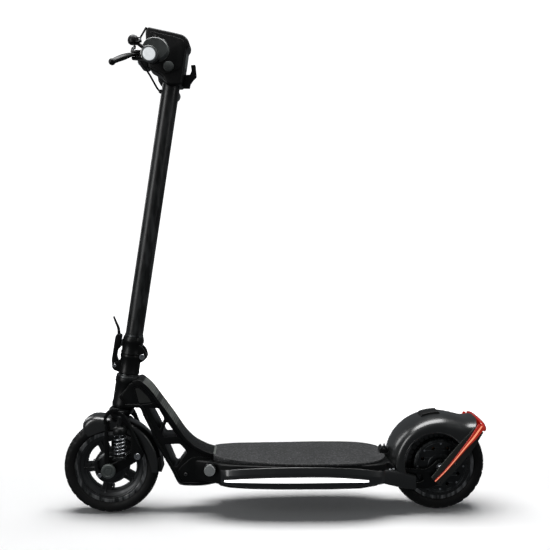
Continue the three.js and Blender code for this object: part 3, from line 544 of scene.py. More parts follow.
# ----------------------------------------------------------------------- wheels
def make_tyre(name, x, body, node):
    section = catmull([(16.5, 83.5, 0), (20.5, 87.5, 0), (24.2, 93, 0), (25.5, 99.5, 0), (24.6, 105.5, 0),
        (20, 110.8, 0), (11, 113.8, 0), (0, 114.5, 0), (-11, 113.8, 0), (-20, 110.8, 0), (-24.6, 105.5, 0),
        (-25.5, 99.5, 0), (-24.2, 93, 0), (-20.5, 87.5, 0), (-16.5, 83.5, 0)], 5)
    rings = []
    for i in range(TYRE_STEPS):
        angle = 2 * math.pi * i / TYRE_STEPS
        turnwise = i % 10
        ring = []
        for p in section:
            y, r = p.x, p.y
            depth = 0.0
            zigzag = 8.5 + 1.6 * abs((i % 20) - 10) / 5
            if r > 109 and abs(abs(y) - zigzag) < 1.6:
                depth = 2.0
            elif abs(y) > 13 and r > 103 and turnwise < 3:
                depth = 1.8
            elif abs(y) < 6 and r > 109 and turnwise in (5, 6):
                depth = 1.1
            elif 89.5 < r < 91.2:
                depth = 0.6
            radial = r - depth
            ring.append((x + radial * math.cos(angle), y, AXLE_Z + radial * math.sin(angle)))
        ring.append((x + 83 * math.cos(angle), -14, AXLE_Z + 83 * math.sin(angle)))
        ring.append((x + 83 * math.cos(angle), 14, AXLE_Z + 83 * math.sin(angle)))
        rings.append(ring)
    loft(name, rings, body, "tyre_rubber", looped=True, stands_for=(node,), crease=40)


make_tyre("front_tyre_tread", -AXLE_X, "front_wheel", "front_tyre")
make_tyre("rear_tyre_tread", AXLE_X, "rear_wheel", "rear_tyre")

RIM_SECTION = [(74.5, -19.4), (76, -20.4), (86.5, -20.4), (88, -19.2), (88, -17.6), (86, -17), (83.4, -15),
    (82.5, -10), (78, -6), (78, 6), (82.5, 10), (83.4, 15), (86, 17), (88, 17.6), (88, 19.2), (86.5, 20.4),
    (76, 20.4), (74.5, 19.4), (73.6, 12), (72.6, 5), (72.6, -5), (73.6, -12), (74.5, -19.4)]
turn("front_rim_ring", RIM_SECTION, FRONT_CENTRE, (0, 1, 0), "front_wheel", "rim_grey", sides=120,
    stands_for=("front_rim",))
for side, tag in SIDES:
    lip = [(78.5, 20.2), (80, 20.9), (86.6, 20.9), (87.6, 20.2), (86, 19.9), (80, 19.9), (78.5, 20.2)]
    turn("front_rim_lip_" + tag, lip, FRONT_CENTRE, (0, side, 0), "front_wheel", "rim_grey", sides=120,
        look=BRIGHT)
    turn("rear_rim_lip_" + tag, lip, REAR_CENTRE, (0, side, 0), "rear_wheel", "rim_grey", sides=120,
        look=BRIGHT)

windows = []
for i in range(5):
    middle = 4 + 72 * i
    windows.append(arc(-AXLE_X, AXLE_Z, 60, middle - 25, middle + 25, 8)
        + arc(-AXLE_X, AXLE_Z, 43, middle + 21, middle - 21, 6))
plate("front_rim_spokes", arc(-AXLE_X, AXLE_Z, 75, 0, 355, 71), -9, 9, "front_wheel", "rim_grey",
    holes=windows, edge=2.2, radius=3)
for side in (-1, 1):
    turn("front_rim_step_" + ("left" if side < 0 else "right"), [(60.6, 8.6), (61.4, 10.2), (64.6, 11),
        (67.4, 14.2), (75, 16.6), (75, 8.6), (60.6, 8.6)], FRONT_CENTRE, (0, side, 0), "front_wheel",
        "rim_grey", sides=120, look=RING_GREY)
for i in range(5):
    angle = math.radians(40 + 72 * i)
    points = [(-AXLE_X + r * math.cos(angle), 0, AXLE_Z + r * math.sin(angle)) for r in (34, 44, 56, 68)]
    tube(f"front_spoke_rib_{i}", points, [(5.2, 13.5), (3.6, 11.6), (3.4, 11), (5, 14.5)], "front_wheel",
        "rim_grey", up=(0, 1, 0), per=5, sides=20)
turn("front_hub", [(8.3, -13), (22, -14), (25, -18), (33, -20), (36, -23), (38, -22), (38.6, -12),
    (38.6, 8), (36, 12), (28, 19.6), (12, 23.6), (8.3, 23.6), (8.3, -13)], FRONT_CENTRE, (0, 1, 0),
    "front_wheel", "rim_grey")
turn("front_valve", [(0, 0), (2.6, 0), (2.6, 14), (3.4, 14.4), (3.4, 21), (2.4, 22), (0, 22)],
    (-AXLE_X, 12, 41), (0, 0, 1), "front_wheel", "steel", sides=20)
turn("rear_valve", [(0, 0), (2.4, 0), (2.4, 5), (3.2, 5.4), (3.2, 9), (2.2, 10), (0, 10)],
    (AXLE_X + 71, 22, AXLE_Z), (0, 1, 0), "rear_wheel", "steel", sides=20)

turn("rear_rim_shell", [(14, 38.6), (40, 39), (56, 38), (63, 35), (66.5, 30), (69, 22), (76, 20.4),
    (86.5, 20.4), (88, 19.2), (88, 17.6), (84, 16.4), (82.6, 10), (80, 5), (80, -5), (82.6, -10),
    (84, -16.4), (88, -17.6), (88, -19.2), (86.5, -20.4), (76, -20.4), (69, -22), (66.5, -30), (65, -32.8),
    (60, -32.8), (60, 30), (14, 30), (14, 38.6)], REAR_CENTRE, (0, 1, 0), "rear_wheel", "rim_grey",
    sides=120, stands_for=("rear_rim",))
for i in range(36):
    angle = math.radians(10 * i)
    for side in (-1, 1):
        points = [(AXLE_X + r * math.cos(angle), side * y, AXLE_Z + r * math.sin(angle)) for r,
            y in [(66.5, 29), (69.5, 24), (74, 21)]]
        tube(f"rear_hub_fin_{i}_{'l' if side < 0 else 'r'}", points, [(1.5, 1.6), (1.5, 2.2), (1.5, 1.4)],
            "rear_wheel", "rim_grey", up=(0, 1, 0), per=2, sides=8)
cover_holes = [arc(AXLE_X + 47 * math.cos(math.radians(45 * i + 22)), AXLE_Z
    + 47 * math.sin(math.radians(45 * i + 22)), 4.2, 0, 330, 11) for i in range(8)]
plate("motor_cover_plate", arc(AXLE_X, AXLE_Z, 62, 0, 355, 71), -38.2, -33.3, "rear_wheel", "dark_metal",
    holes=cover_holes, edge=1.4, radius=2, stands_for=("motor_cover",))
turn("motor_cover_boss", [(14, -35), (30, -35), (33, -37), (31, -39), (20, -39.5), (14, -39), (14, -35)],
    REAR_CENTRE, (0, 1, 0), "rear_wheel", "dark_metal")
turn("motor_cover_rim", [(58, -36), (65.6, -33.4), (66, -34.6), (62, -37.6), (58, -38.6), (58, -36)],
    REAR_CENTRE, (0, 1, 0), "rear_wheel", "dark_metal")
for i in range(8):
    angle = math.radians(45 * i)
    bolt(f"motor_cover_bolt_{i}", (AXLE_X + 56 * math.cos(angle), -37.8, AXLE_Z + 56 * math.sin(angle)),
        (0, -1, 0), 2.6, "rear_wheel")
    bolt(f"motor_back_bolt_{i}", (AXLE_X + 50 * math.cos(angle), 38.2, AXLE_Z + 50 * math.sin(angle)),
        (0, 1, 0), 2.6, "rear_wheel")
turn("rear_axle_shaft", [(0, -56), (5, -56), (6, -55), (6, 55), (5, 56), (0, 56)], REAR_CENTRE, (0, 1, 0),
    "frame", "steel", sides=40, stands_for=("rear_axle",))
for side, tag in SIDES:
    turn("rear_washer_" + tag, [(6.2, 50.1), (13.5, 50.1), (13.5, 51.3), (6.2, 51.3), (6.2, 50.1)],
        REAR_CENTRE, (0, side, 0), "frame", "steel", sides=40)
    hex_nut("rear_nut_" + tag, (AXLE_X, side * 51.3, AXLE_Z), (0, side, 0), 10.5, 4.4, "frame")

# ------------------------------------------------------------------------- neck
NECK_TOP = [(-345, 326), (-336, 329.5), (-329, 330.5), (-322, 326.5), (-303, 309.5), (-278.6, 276.5),
    (-251.5, 238.5), (-224, 197.5), (-210, 181.5), (-196, 169.5), (-178, 159.4), (-162, 152.6),
    (-146, 148.8)]
NECK_LOW = [(-140, 78), (-178, 71.5), (-226, 73), (-239, 83), (-251.5, 109), (-273, 147), (-293, 183),
    (-300, 205), (-318, 243), (-326, 262), (-345, 264), (-362, 264)]
WINDOWS = [[(-306, 261), (-283, 261.5), (-268.7, 237), (-279.5, 208)],
    [(-262.5, 228), (-237, 192), (-270, 190.5), (-275, 201)], [(-268, 173), (-231, 173.5), (-214, 153),
    (-240, 117), (-246, 118)]]
neck_outline = [(-345, 324), (-331, 326), (-322, 325), (-303, 308.5), (-278.6, 275.5), (-251.5, 237.5),
    (-224, 196.5), (-196, 168), (-178, 156.5), (-150, 144.5), (-140, 134), (-140, 79), (-178, 72.5),
    (-225, 74), (-238.5, 84), (-251, 109), (-292, 183), (-299, 205), (-317, 243), (-326, 262),
    (-361, 264.5), (-377, 290)]
plate("neck_core", neck_outline, -32.5, 32.5, "frame", "satin_black", holes=WINDOWS, edge=1.0, radius=4,
    stands_for=("main_frame",))
plate("neck_top_rail", strip(NECK_TOP, 11), -NECK_HALF_WIDTH, NECK_HALF_WIDTH, "frame", "satin_black",
    edge=1.4, radius=1.5, steps=2)
# A thin skin over the neck's top rail, coloured lighter as painted light from above.
plate("neck_top_painted_light", strip(NECK_TOP[2:], 1.2), -33.6, 33.6, "frame", "satin_black", edge=0.4, radius=0.4,
    steps=2, look=NECK_TOP_PAINTED_LIGHT)
plate("neck_low_rail", strip(NECK_LOW, 8), -NECK_HALF_WIDTH, NECK_HALF_WIDTH, "frame", "satin_black",
    edge=1.6, radius=1.5, steps=2)
for side, tag in SIDES:
    low, high = across(side, 31, 34)
    plate("neck_cheek_" + tag, [(-372, 290), (-350, 322), (-328, 321), (-301, 300), (-281, 272),
        (-326, 264), (-358, 268)], low, high, "frame", "satin_black", edge=1.2, radius=4,
        holes=[[(-342, 312), (-328, 314), (-306, 292), (-296, 273), (-330, 270)]])
    plate("neck_inlay_" + tag, [(-337, 309), (-328, 310.5), (-308, 290), (-299, 276), (-328, 273)],
        *across(side, 31.4, 33), "frame", "dark_metal", edge=0.5, radius=3, look=OLIVE)
    plate("neck_gusset_" + tag, [(-236, 112), (-205, 140), (-184, 143), (-158, 137), (-142, 128),
        (-142, 92), (-170, 82), (-222, 82), (-234, 92)], *across(side, 31.5, 34.2), "frame", "satin_black",
        edge=1.4, radius=8)
    bolt("neck_bolt_a_" + tag, (-218, side * 33.8, 100), (0, side, 0), 4.2, "frame", look=INK)
    bolt("neck_bolt_b_" + tag, (-168, side * 33.8, 92), (0, side, 0), 4.6, "frame")
turn("head_tube_shell", [(19, 262), (26, 262), (28, 264), (28.6, 268), (28.6, 273), (27.4, 276),
    (27.4, 322), (28.8, 325), (28.8, 333), (28, 335.8), (19, 336), (19, 262)], LEAN_ORIGIN, LEAN_S, "frame",
    "satin_black", sides=80)
turn("headset_cover", [(18, 336.2), (27.3, 336.3), (28, 337.6), (27.6, 340.4), (24.6, 342), (23.8, 344.8),
    (18, 344.8), (18, 336.2)], LEAN_ORIGIN, LEAN_S, "frame", "dark_metal", sides=80,
    stands_for=("headset_upper",))

# ------------------------------------------------------------------------- deck
plate("deck_shell", both(DECK_PLAN), 84, 134.5, "frame", "satin_black", edge=3.5, radius=10, plane="xy")
MAT_HEIGHT = [(-150, 149), (-132, 147.6), (-110, 146.3), (-80, 144.8), (-50, 143.4), (0, 141.7), (40, 141),
    (265, 141)]
smooth_mat = [tuple(p[:2]) for p in catmull([(x, y, 0) for x, y in MAT_PLAN], 8)]
rings = []
for i in range(85):
    x = -149.7 + (265 + 149.7) * i / 84
    half, top = between(smooth_mat, x), between(MAT_HEIGHT, x)
    rings.append([(x, y, z) for y, z in [(-half + 0.4, 134.7), (-half - 0.2, 137.5),
        (-half + 0.3, top - 1.3), (-half + 1.3, top - 0.3), (-half + 3, top), (-half * 0.5, top), (0, top),
        (half * 0.5, top), (half - 3, top), (half - 1.3, top - 0.3), (half - 0.3, top - 1.3),
        (half + 0.2, 137.5), (half - 0.4, 134.7)]])
loft("deck_mat_pad", rings, "frame", "deck_rubber", stands_for=("deck_mat",), crease=40)
for side in (-1, 1):
    rings = []
    for x, half, low, high in [(258, 75, 84, 119), (268, 71, 80, 117), (279, 66.4, 76, 115),
            (292, 63.4, 72, 111), (312, 62.2, 67, 105), (336, 61.4, 64, 98)]:
        rings.append([(x, side * y, z) for y, z in [(50, low), (half - 5, low), (half - 1.4, low + 1.6),
            (half, low + 6), (half, (low + high) / 2), (half, high - 6), (half - 1.6, high - 1.4),
            (half - 5, high), (50, high)]])
    loft("tail_shell_" + ("left" if side < 0 else "right"), rings, "frame", "gloss_charcoal", crease=34)
    for x, half, z in [(272, 69.6, 127), (281, 66, 127)]:
        bolt(f"tail_screw_{'l' if side < 0 else 'r'}_{x}", (x, side * (half - 4.6), 116.6),
            (0.1, side * 0.3, 1), 3.0, "frame")
plate("tail_bridge", [(262, 118), (262, 133), (272, 133), (284, 122), (286, 116), (280, 112)], -60, 60,
    "frame", "satin_black", edge=2.2, radius=4)
plate("belly_tray", both([(-138, 48), (-112, 66), (-60, 76), (10, 82), (130, 84), (200, 80), (246, 60)]),
    76, 83.8, "frame", "dark_plastic", edge=2.4, radius=8, plane="xy", stands_for=("belly_pan",))
for i, x in enumerate((-110, -30, 50, 130, 205)):
    for side in (-1, 1):
        reach = between(DECK_PLAN, x) - 16
        bolt(f"belly_screw_{i}_{'l' if side < 0 else 'r'}", (x, side * reach, 76.4), (0, 0, -1), 3.0,
            "frame", height=1.2)

FAIRING_TOP = [(-132, 121), (-96, 125.5), (-60, 129), (-15, 131.6), (30, 133), (70, 133.3), (110, 133),
    (150, 131), (190, 128), (226, 122.5), (262, 116)]
FAIRING_LOW = [(-132, 88), (-86, 84), (-40, 82), (50, 81.4), (150, 82), (206, 85), (262, 90)]
LIGHT_TOP = [(-124, 99), (-92, 103.2), (-60, 106), (-10, 108.6), (40, 110), (85, 110.2), (130, 109.3),
    (176, 105.8), (218, 100.6)]
LIGHT_LOW = [(-124, 95), (-60, 97), (130, 98), (218, 96.4)]
SMOOTH_PLAN = [tuple(p[:2]) for p in catmull([(x, y, 0) for x, y in DECK_PLAN], 8)]
for table_name in (FAIRING_TOP, FAIRING_LOW, LIGHT_TOP, LIGHT_LOW):
    table_name[:] = [tuple(p[:2]) for p in catmull([(x, y, 0) for x, y in table_name], 8)]

for side, tag in SIDES:
    rings = []
    for i in range(79):
        x = FAIRING_START + (FAIRING_END - FAIRING_START) * i / 78
        half = between(SMOOTH_PLAN, x)
        top = between(FAIRING_TOP, x)
        low = between(FAIRING_LOW, x)
        pinch = min(1.0, (x + 1 - FAIRING_START) / 14, (FAIRING_END + 1 - x) / 14)
        profile = [(0.3, top - 0.5), (1.6, top), (2.8, top - 0.6), (6.6, top - 12.5), (7.0, top - 14),
            (6.9, (top + low) / 2), (6.7, low + 10), (5.6, low + 3.5), (3.6, low + 0.6), (0.3, low)]
        rings.append([(x, side * (half + 0.2 + g * pinch), z) for g, z in profile])
    loft("side_skirt_" + tag, rings, "frame", "gloss_charcoal", stands_for=("side_fairing_" + tag,),
        crease=24)
    rings = []
    top_edge, low_edge = [], []
    for i in range(69):
        x = LIGHT_START + (LIGHT_END - LIGHT_START) * i / 68
        half = between(SMOOTH_PLAN, x)
        top = between(LIGHT_TOP, x)
        low = between(LIGHT_LOW, x)
        profile = [(4, top), (7.3, top), (7.6, top - 0.8), (7.6, low + 0.8), (7.3, low), (4, low)]
        rings.append([(x, side * (half + g), z) for g, z in profile])
        if i % 4 == 0:
            top_edge.append((x, side * (half + 7.0), top + 0.7))
            low_edge.append((x, side * (half + 7.0), low - 0.7))
    loft("side_glow_" + tag, rings, "frame", "white_light", stands_for=("side_light_" + tag,), crease=50)
    tube("side_bezel_top_" + tag, top_edge, 0.9, "frame", "gloss_charcoal", per=3, sides=10)
    tube("side_bezel_low_" + tag, low_edge, 0.9, "frame", "gloss_charcoal", per=3, sides=10)

# --------------------------------------------------------- charge port, stand
turn("charge_boss", [(10.5, -44), (13, -44), (13.6, -60), (13.6, -69), (12.6, -70), (10.5, -70),
    (10.5, -44)], CHARGE_PORT, (0, 1, 0), "frame", "satin_black", sides=64)
turn("charge_cap_disc", [(0, 73.4), (8, 73.4), (8.8, 72.6), (10, 72.6), (10.8, 73.5), (12.2, 73.2),
    (13, 72.2), (12.8, 70.4), (8, 70.3), (8, 67), (0, 67)], CHARGE_PORT, (0, -1, 0), "charge_cap",
    "grey_cap", sides=64, stands_for=("charge_cap",))
tube("charge_cap_tab", [(-163, -71.8, 131.6), (-158, -72, 133), (-153, -71.8, 131.6)], [(1.4, 2.4)] * 3,
    "charge_cap", "grey_cap", up=(0, 0, 1), per=4, sides=12)
bolt("neck_side_bolt", (-170, -35.2, 118), (0, -1, 0), 4.0, "frame")
turn("stand_boss", [(0, 45), (9, 45), (10, 50), (10, 61), (9, 63), (0, 63)], STAND_PIVOT, (0, 1, 0),
    "frame", "satin_black", sides=40)
turn("stand_hub", [(0, 63.4), (8.6, 63.4), (9, 64.4), (9, 71), (8, 73), (0, 73)], STAND_PIVOT, (0, 1, 0),
    "kickstand", "satin_black", sides=40, stands_for=("kickstand",))
bolt("stand_bolt", (-160, 72.8, 93), (0, 1, 0), 4.4, "kickstand", height=2.0)
tube("stand_leg", [(-158, 68, 90), (-148, 68.6, 80), (-132, 69.2, 72.5), (-110, 69.6, 69.3),
    (-85, 70, 68.5), (-60, 70, 68)], [(4.8, 4.4)] * 6, "kickstand", "satin_black", sides=20)
tube("stand_foot", [(-66, 70, 68.2), (-61, 70, 68.1), (-53, 70, 68)], [(6.0, 5.4), (6.4, 6.0), (5.8, 5.4)],
    "kickstand", "grip_rubber", sides=20)

# --------------------------------------------------------------------- rear end
REAR_ARM = [(268.5, 122), (268.5, 78), (306, 67), (366, 62), (404, 78), (421, 98), (422, 118), (410, 135),
    (390, 136), (378, 122), (362, 112), (322, 114)]
for side, tag in SIDES:
    low, high = across(side, 42, 50)
    plate("rear_arm_plate_" + tag, REAR_ARM, low, high, "frame", "satin_black", edge=2.4, radius=9,
        holes=[arc(AXLE_X, AXLE_Z, 8, 0, 330, 11), [(300, 104), (352, 99), (358, 84), (340, 78),
        (300, 86)]], stands_for=("rear_arm_" + tag,))
    plate("rear_arm_foot_" + tag, [(268.5, 84), (277, 84), (277, 118), (268.5, 118)], *across(side, 42, 56),
        "frame", "satin_black", edge=1.4, radius=2.5)
    bolt("rear_arm_bolt_a_" + tag, (286, side * 49.6, 112), (0, side, 0), 4.6, "frame")
    bolt("rear_arm_bolt_b_" + tag, (286, side * 49.6, 78), (0, side, 0), 4.6, "frame")
plate("hook_block", [(256, 141.1), (275, 141.1), (277, 147), (272, 157), (269.6, 157), (268.8, 151.4),
    (263.2, 151.4), (262.4, 157), (260.6, 156), (256, 150)], -14, 14, "frame", "dark_plastic", edge=1.2,
    radius=1.6, stands_for=("hook_catch",))


def arch_reach(angle):
    """Distance from the rear axle to the edge of the round opening in the side of the fender."""
    back = Vector((AXLE_X, AXLE_Z)) - ARCH_CENTRE
    along = Vector((math.cos(angle), math.sin(angle)))
    push = back.dot(along)
    return -push + math.sqrt(push * push - back.length_squared + ARCH_RADIUS ** 2)


FENDER_OUT = [(41, 132.8), (47, 139.3), (52.3, 146.4), (54.4, 140.8), (58, 134), (63, 129.4), (70, 126.8),
    (78, 126), (120, 126), (165, 126), (203, 126)]
fender_angles = [41, 44, 47, 50, 51.6, 52.3, 53.2, 54.4, 56, 58, 60.5, 63, 66] + [70 + 3.5 * i
    for i in range(39)]
rings = []
lips = {-1: [], 1: []}
for degrees in fender_angles:
    angle = math.radians(degrees)
    reach = between(FENDER_OUT, degrees)
    end = arch_reach(angle)
    ring = []
    for half, top, bottom, order in ((61, reach, end, 1), (57.2, reach - 4.2, end, -1)):
        shoulder = max(bottom + 6, top - 36)
        side_line = []
        for k in range(25):
            t = -math.pi / 2 + math.pi * k / 24
            y = half * math.copysign(abs(math.sin(t)) ** (2 / 2.5), math.sin(t))
            r = shoulder + (top - shoulder) * abs(math.cos(t)) ** (2 / 2.5)
            side_line.append((y, r))
        side_line = [(-half + 0.6, bottom), (-half, (bottom + shoulder) / 2)] + side_line + [(half,
            (bottom + shoulder) / 2), (half - 0.6, bottom)]
        ring += side_line[::order]
    rings.append([(AXLE_X + r * math.cos(angle), y, AXLE_Z + r * math.sin(angle)) for y, r in ring])
    for side in (-1, 1):
        lips[side].append((AXLE_X + end * math.cos(angle), side * 59.2, AXLE_Z + end * math.sin(angle)))
loft("rear_fender_shell", rings, "frame", "gloss_charcoal", stands_for=("rear_fender",), crease=38)
for side, tag in SIDES:
    tube("rear_fender_lip_" + tag, lips[side][::2], 1.9, "frame", "gloss_charcoal", up=(0, 1, 0), per=2,
        sides=12)
pad_rings = []
for degrees in range(89, 113, 2):
    angle = math.radians(degrees)
    lift = 131.4 if 91 <= degrees <= 109 else 127
    ring = []
    for y, r in [(-20, 124), (-19, lift - 1.6), (-16, lift - 0.3), (0, lift), (16, lift - 0.3),
            (19, lift - 1.6), (20, 124)]:
        ring.append((AXLE_X + r * math.cos(angle), y, AXLE_Z + r * math.sin(angle)))
    pad_rings.append(ring)
loft("rear_fender_pad", pad_rings, "frame", "dark_plastic", crease=40)

STAY = [(383, 84), (424, 131), (458, 172), (488, 211)]
TAIL_LINE = [(381, 86), (402, 107), (422, 130), (455, 171), (474, 194), (492, 220)]
TAIL_WIDTHS = [4, 4.6, 6, 10, 15, 19]
for side, tag in SIDES:
    plate("rear_stay_" + tag, band(STAY, [30, 36, 34, 24], 6), *across(side, 57.2, 61.6), "frame",
        "gloss_charcoal", edge=1.5, radius=3, look=OLIVE)
    plate("tail_strip_" + tag, band(TAIL_LINE, TAIL_WIDTHS, 6), *across(side, 61.2, 64.4), "frame",
        "red_light", edge=1.4, radius=1.2, steps=2, **({"stands_for": ("tail_light",)} if side < 0 else {}))
    plate("tail_core_" + tag, band(TAIL_LINE, [1.4, 1.6, 2, 3, 4, 3.4], 6), *across(side, 63.4, 64.8),
        "frame", "red_light", edge=0.4, radius=0.6, steps=2, look=RED_CORE)
    bolt("rear_stay_bolt_" + tag, (432, side * 61.4, 127), (0, side, 0), 3.6, "frame", height=1.4, look=INK)
    bolt("rear_stay_bolt_low_" + tag, (394, side * 61.4, 84), (0, side, 0), 3.0, "frame", height=1.4,
        look=INK)
TAIL_END = [(489.4, 231), (498, 229.8), (506, 222), (511, 209), (507, 200), (499, 203)]
rings = []
for y, grow in [(-63.5, 0.3), (-62, 0.5), (-58, 0.68), (-50, 0.86), (-38, 0.97), (-20, 1.0), (0, 1.0),
        (20, 1.0), (38, 0.97), (50, 0.86), (58, 0.68), (62, 0.5), (63.5, 0.3)]:
    back = 4.0 * (y / 63.5) ** 4
    rings.append([(500 - back + (p.x - 500) * grow, y, 216 + (p.y - 216) * grow)
        for p in rounded(TAIL_END, 4, 4)])
loft("tail_cross", rings, "frame", "red_light", crease=40)

# ------------------------------------------------------------------ front end
FRONT_OUT = [(-6, 120), (10, 121.5), (40, 122), (70, 122.3), (84, 122.4), (90, 123.4), (97, 125.8),
    (104, 130.8), (110, 133.4), (116, 132.2), (121, 128), (124, 121)]
FRONT_OUT = [tuple(p[:2]) for p in catmull([(a, r, 0) for a, r in FRONT_OUT], 5)]
rings = []
for i in range(53):
    degrees = -6 + 130 * i / 52
    angle = math.radians(degrees)
    reach = between(FRONT_OUT, degrees)
    near_nose = max(0.0, (degrees - 108) / 16)
    bottom = 94.5 - 5 * max(0.0, (degrees - 84) / 40) + 4 * near_nose ** 2 + max(0.0,
        (12 - degrees) / 18) * 6
    ring = []
    for half, top, order in ((31 - 2.5 * near_nose ** 3, reach, 1),
            (28.2 - 2.5 * near_nose ** 3, reach - 3, -1)):
        shoulder = top - 17
        side_line = []
        for k in range(17):
            t = -math.pi / 2 + math.pi * k / 16
            y = half * math.copysign(abs(math.sin(t)) ** (2 / 2.7), math.sin(t))
            side_line.append((y, shoulder + (top - shoulder) * abs(math.cos(t)) ** (2 / 2.7)))
        side_line = [(-half, bottom)] + side_line + [(half, bottom)]
        ring += side_line[::order]
    rings.append([(-AXLE_X + r * math.cos(angle), y, AXLE_Z + r * math.sin(angle)) for y, r in ring])
loft("front_fender_shell", rings, "front_suspension", "gloss_charcoal", stands_for=("front_fender",),
    crease=38)
plate("front_fender_end", [(-276, 103), (-282, 103), (-287, 138), (-280.5, 139)], -27, 27,
    "front_suspension", "dark_plastic", edge=1.6, radius=2)
for side, tag in SIDES:
    edge_line = [(-AXLE_X + 95 * math.cos(math.radians(a)), side * 29.6, AXLE_Z
        + 95 * math.sin(math.radians(a))) for a in range(12, 90, 8)]
    tube("front_fender_lip_" + tag, edge_line, 1.3, "front_suspension", "gloss_charcoal", up=(0, 1, 0),
        per=3, sides=10)

LINK = [(-331, 164), (-344, 161), (-360, 148), (-388, 131), (-404, 128), (-414, 118), (-412, 102),
    (-400, 98), (-384, 104), (-330, 136), (-318, 144), (-318, 158)]
STRUT = [(-411, 114), (-398, 114), (-400, 190), (-400.5, 222), (-395, 231), (-401, 236), (-408.5, 227),
    (-410.5, 190)]
HORN = [(-374, 265), (-390, 266), (-402, 259), (-409.5, 247), (-410.5, 228), (-403, 226), (-402, 243),
    (-394, 252.5), (-374, 255)]
for side, tag in SIDES:
    plate("link_plate_" + tag, LINK, *across(side, 33, 39.7), "front_suspension", "satin_black", edge=2,
        radius=7, holes=[arc(*LINK_PIVOT, 5.3, 0, 330, 11), arc(-AXLE_X, AXLE_Z, 6.3, 0, 330, 11)],
        stands_for=("link_" + tag,))
    plate("spring_seat_" + tag, [(-386, 142), (-357, 142), (-356, 145), (-358, 148.6), (-385, 148.6),
        (-388, 145)], *across(side, 33.5, 61), "front_suspension", "satin_black", edge=1.6, radius=2)
    turn("spring_cup_" + tag, [(0, 142.5), (13, 142.5), (15.2, 144), (15.2, 150.5), (14.2, 151.5),
        (13.8, 148.8), (0, 148.8)], (SPRING_X, side * SPRING_Y, 0), (0, 0, 1), "front_suspension",
        "dark_metal", sides=48)
    plate("strut_" + tag, STRUT, *across(side, 40.2, 46), "front_suspension", "satin_black", edge=2.2,
        radius=6)
    turn("strut_eye_" + tag, [(6.4, 39.8), (14, 39.8), (15, 41), (15, 45), (14, 46.2), (6.4, 46.2),
        (6.4, 39.8)], FRONT_CENTRE, (0, side, 0), "front_suspension", "satin_black", sides=48)
    plate("fender_tab_" + tag, [(-408, 204), (-402, 202), (-399, 212), (-405, 218)],
        *across(side, 30.6, 45), "front_suspension", "satin_black", edge=1.4, radius=2)
    turn("front_axle_cap_" + tag, [(0, 56.6), (7, 56.6), (8, 55.6), (9.6, 55.6), (10.6, 56.9), (15.2, 56.4),
        (17, 54.6), (17, 47.2), (15.5, 46.3), (0, 46.3)], FRONT_CENTRE, (0, side, 0), "front_suspension",
        "dark_metal", sides=72, look=CAP_GREY, **({"stands_for": ("front_axle",)} if side < 0 else {}))
turn("front_axle_shaft", [(0, -50), (6, -50), (6, 50), (0, 50)], FRONT_CENTRE, (0, 1, 0),
    "front_suspension", "steel", sides=32)
turn("brake_drum_plate", [(6.3, -24.8), (37.6, -24.8), (38.2, -26), (35, -28.2), (30, -29), (28.6, -30.8),
    (20, -31.6), (12, -32), (6.3, -32), (6.3, -24.8)], FRONT_CENTRE, (0, 1, 0), "front_suspension",
    "dark_metal", sides=96, stands_for=("brake_plate",))
plate("brake_arm_plate", band([(-424, 100), (-431, 118), (-434, 140)], [12, 8.5, 9], 5), -37.5, -33.8,
    "brake_arm", "steel", look=INK, edge=0.8, radius=2.5, holes=[arc(-433.2, 136.5, 2.0, 0, 330, 11)],
    stands_for=("brake_arm",))
bolt("brake_arm_bolt", (-424, -37.2, 100), (0, -1, 0), 5.2, "brake_arm", height=2.2)

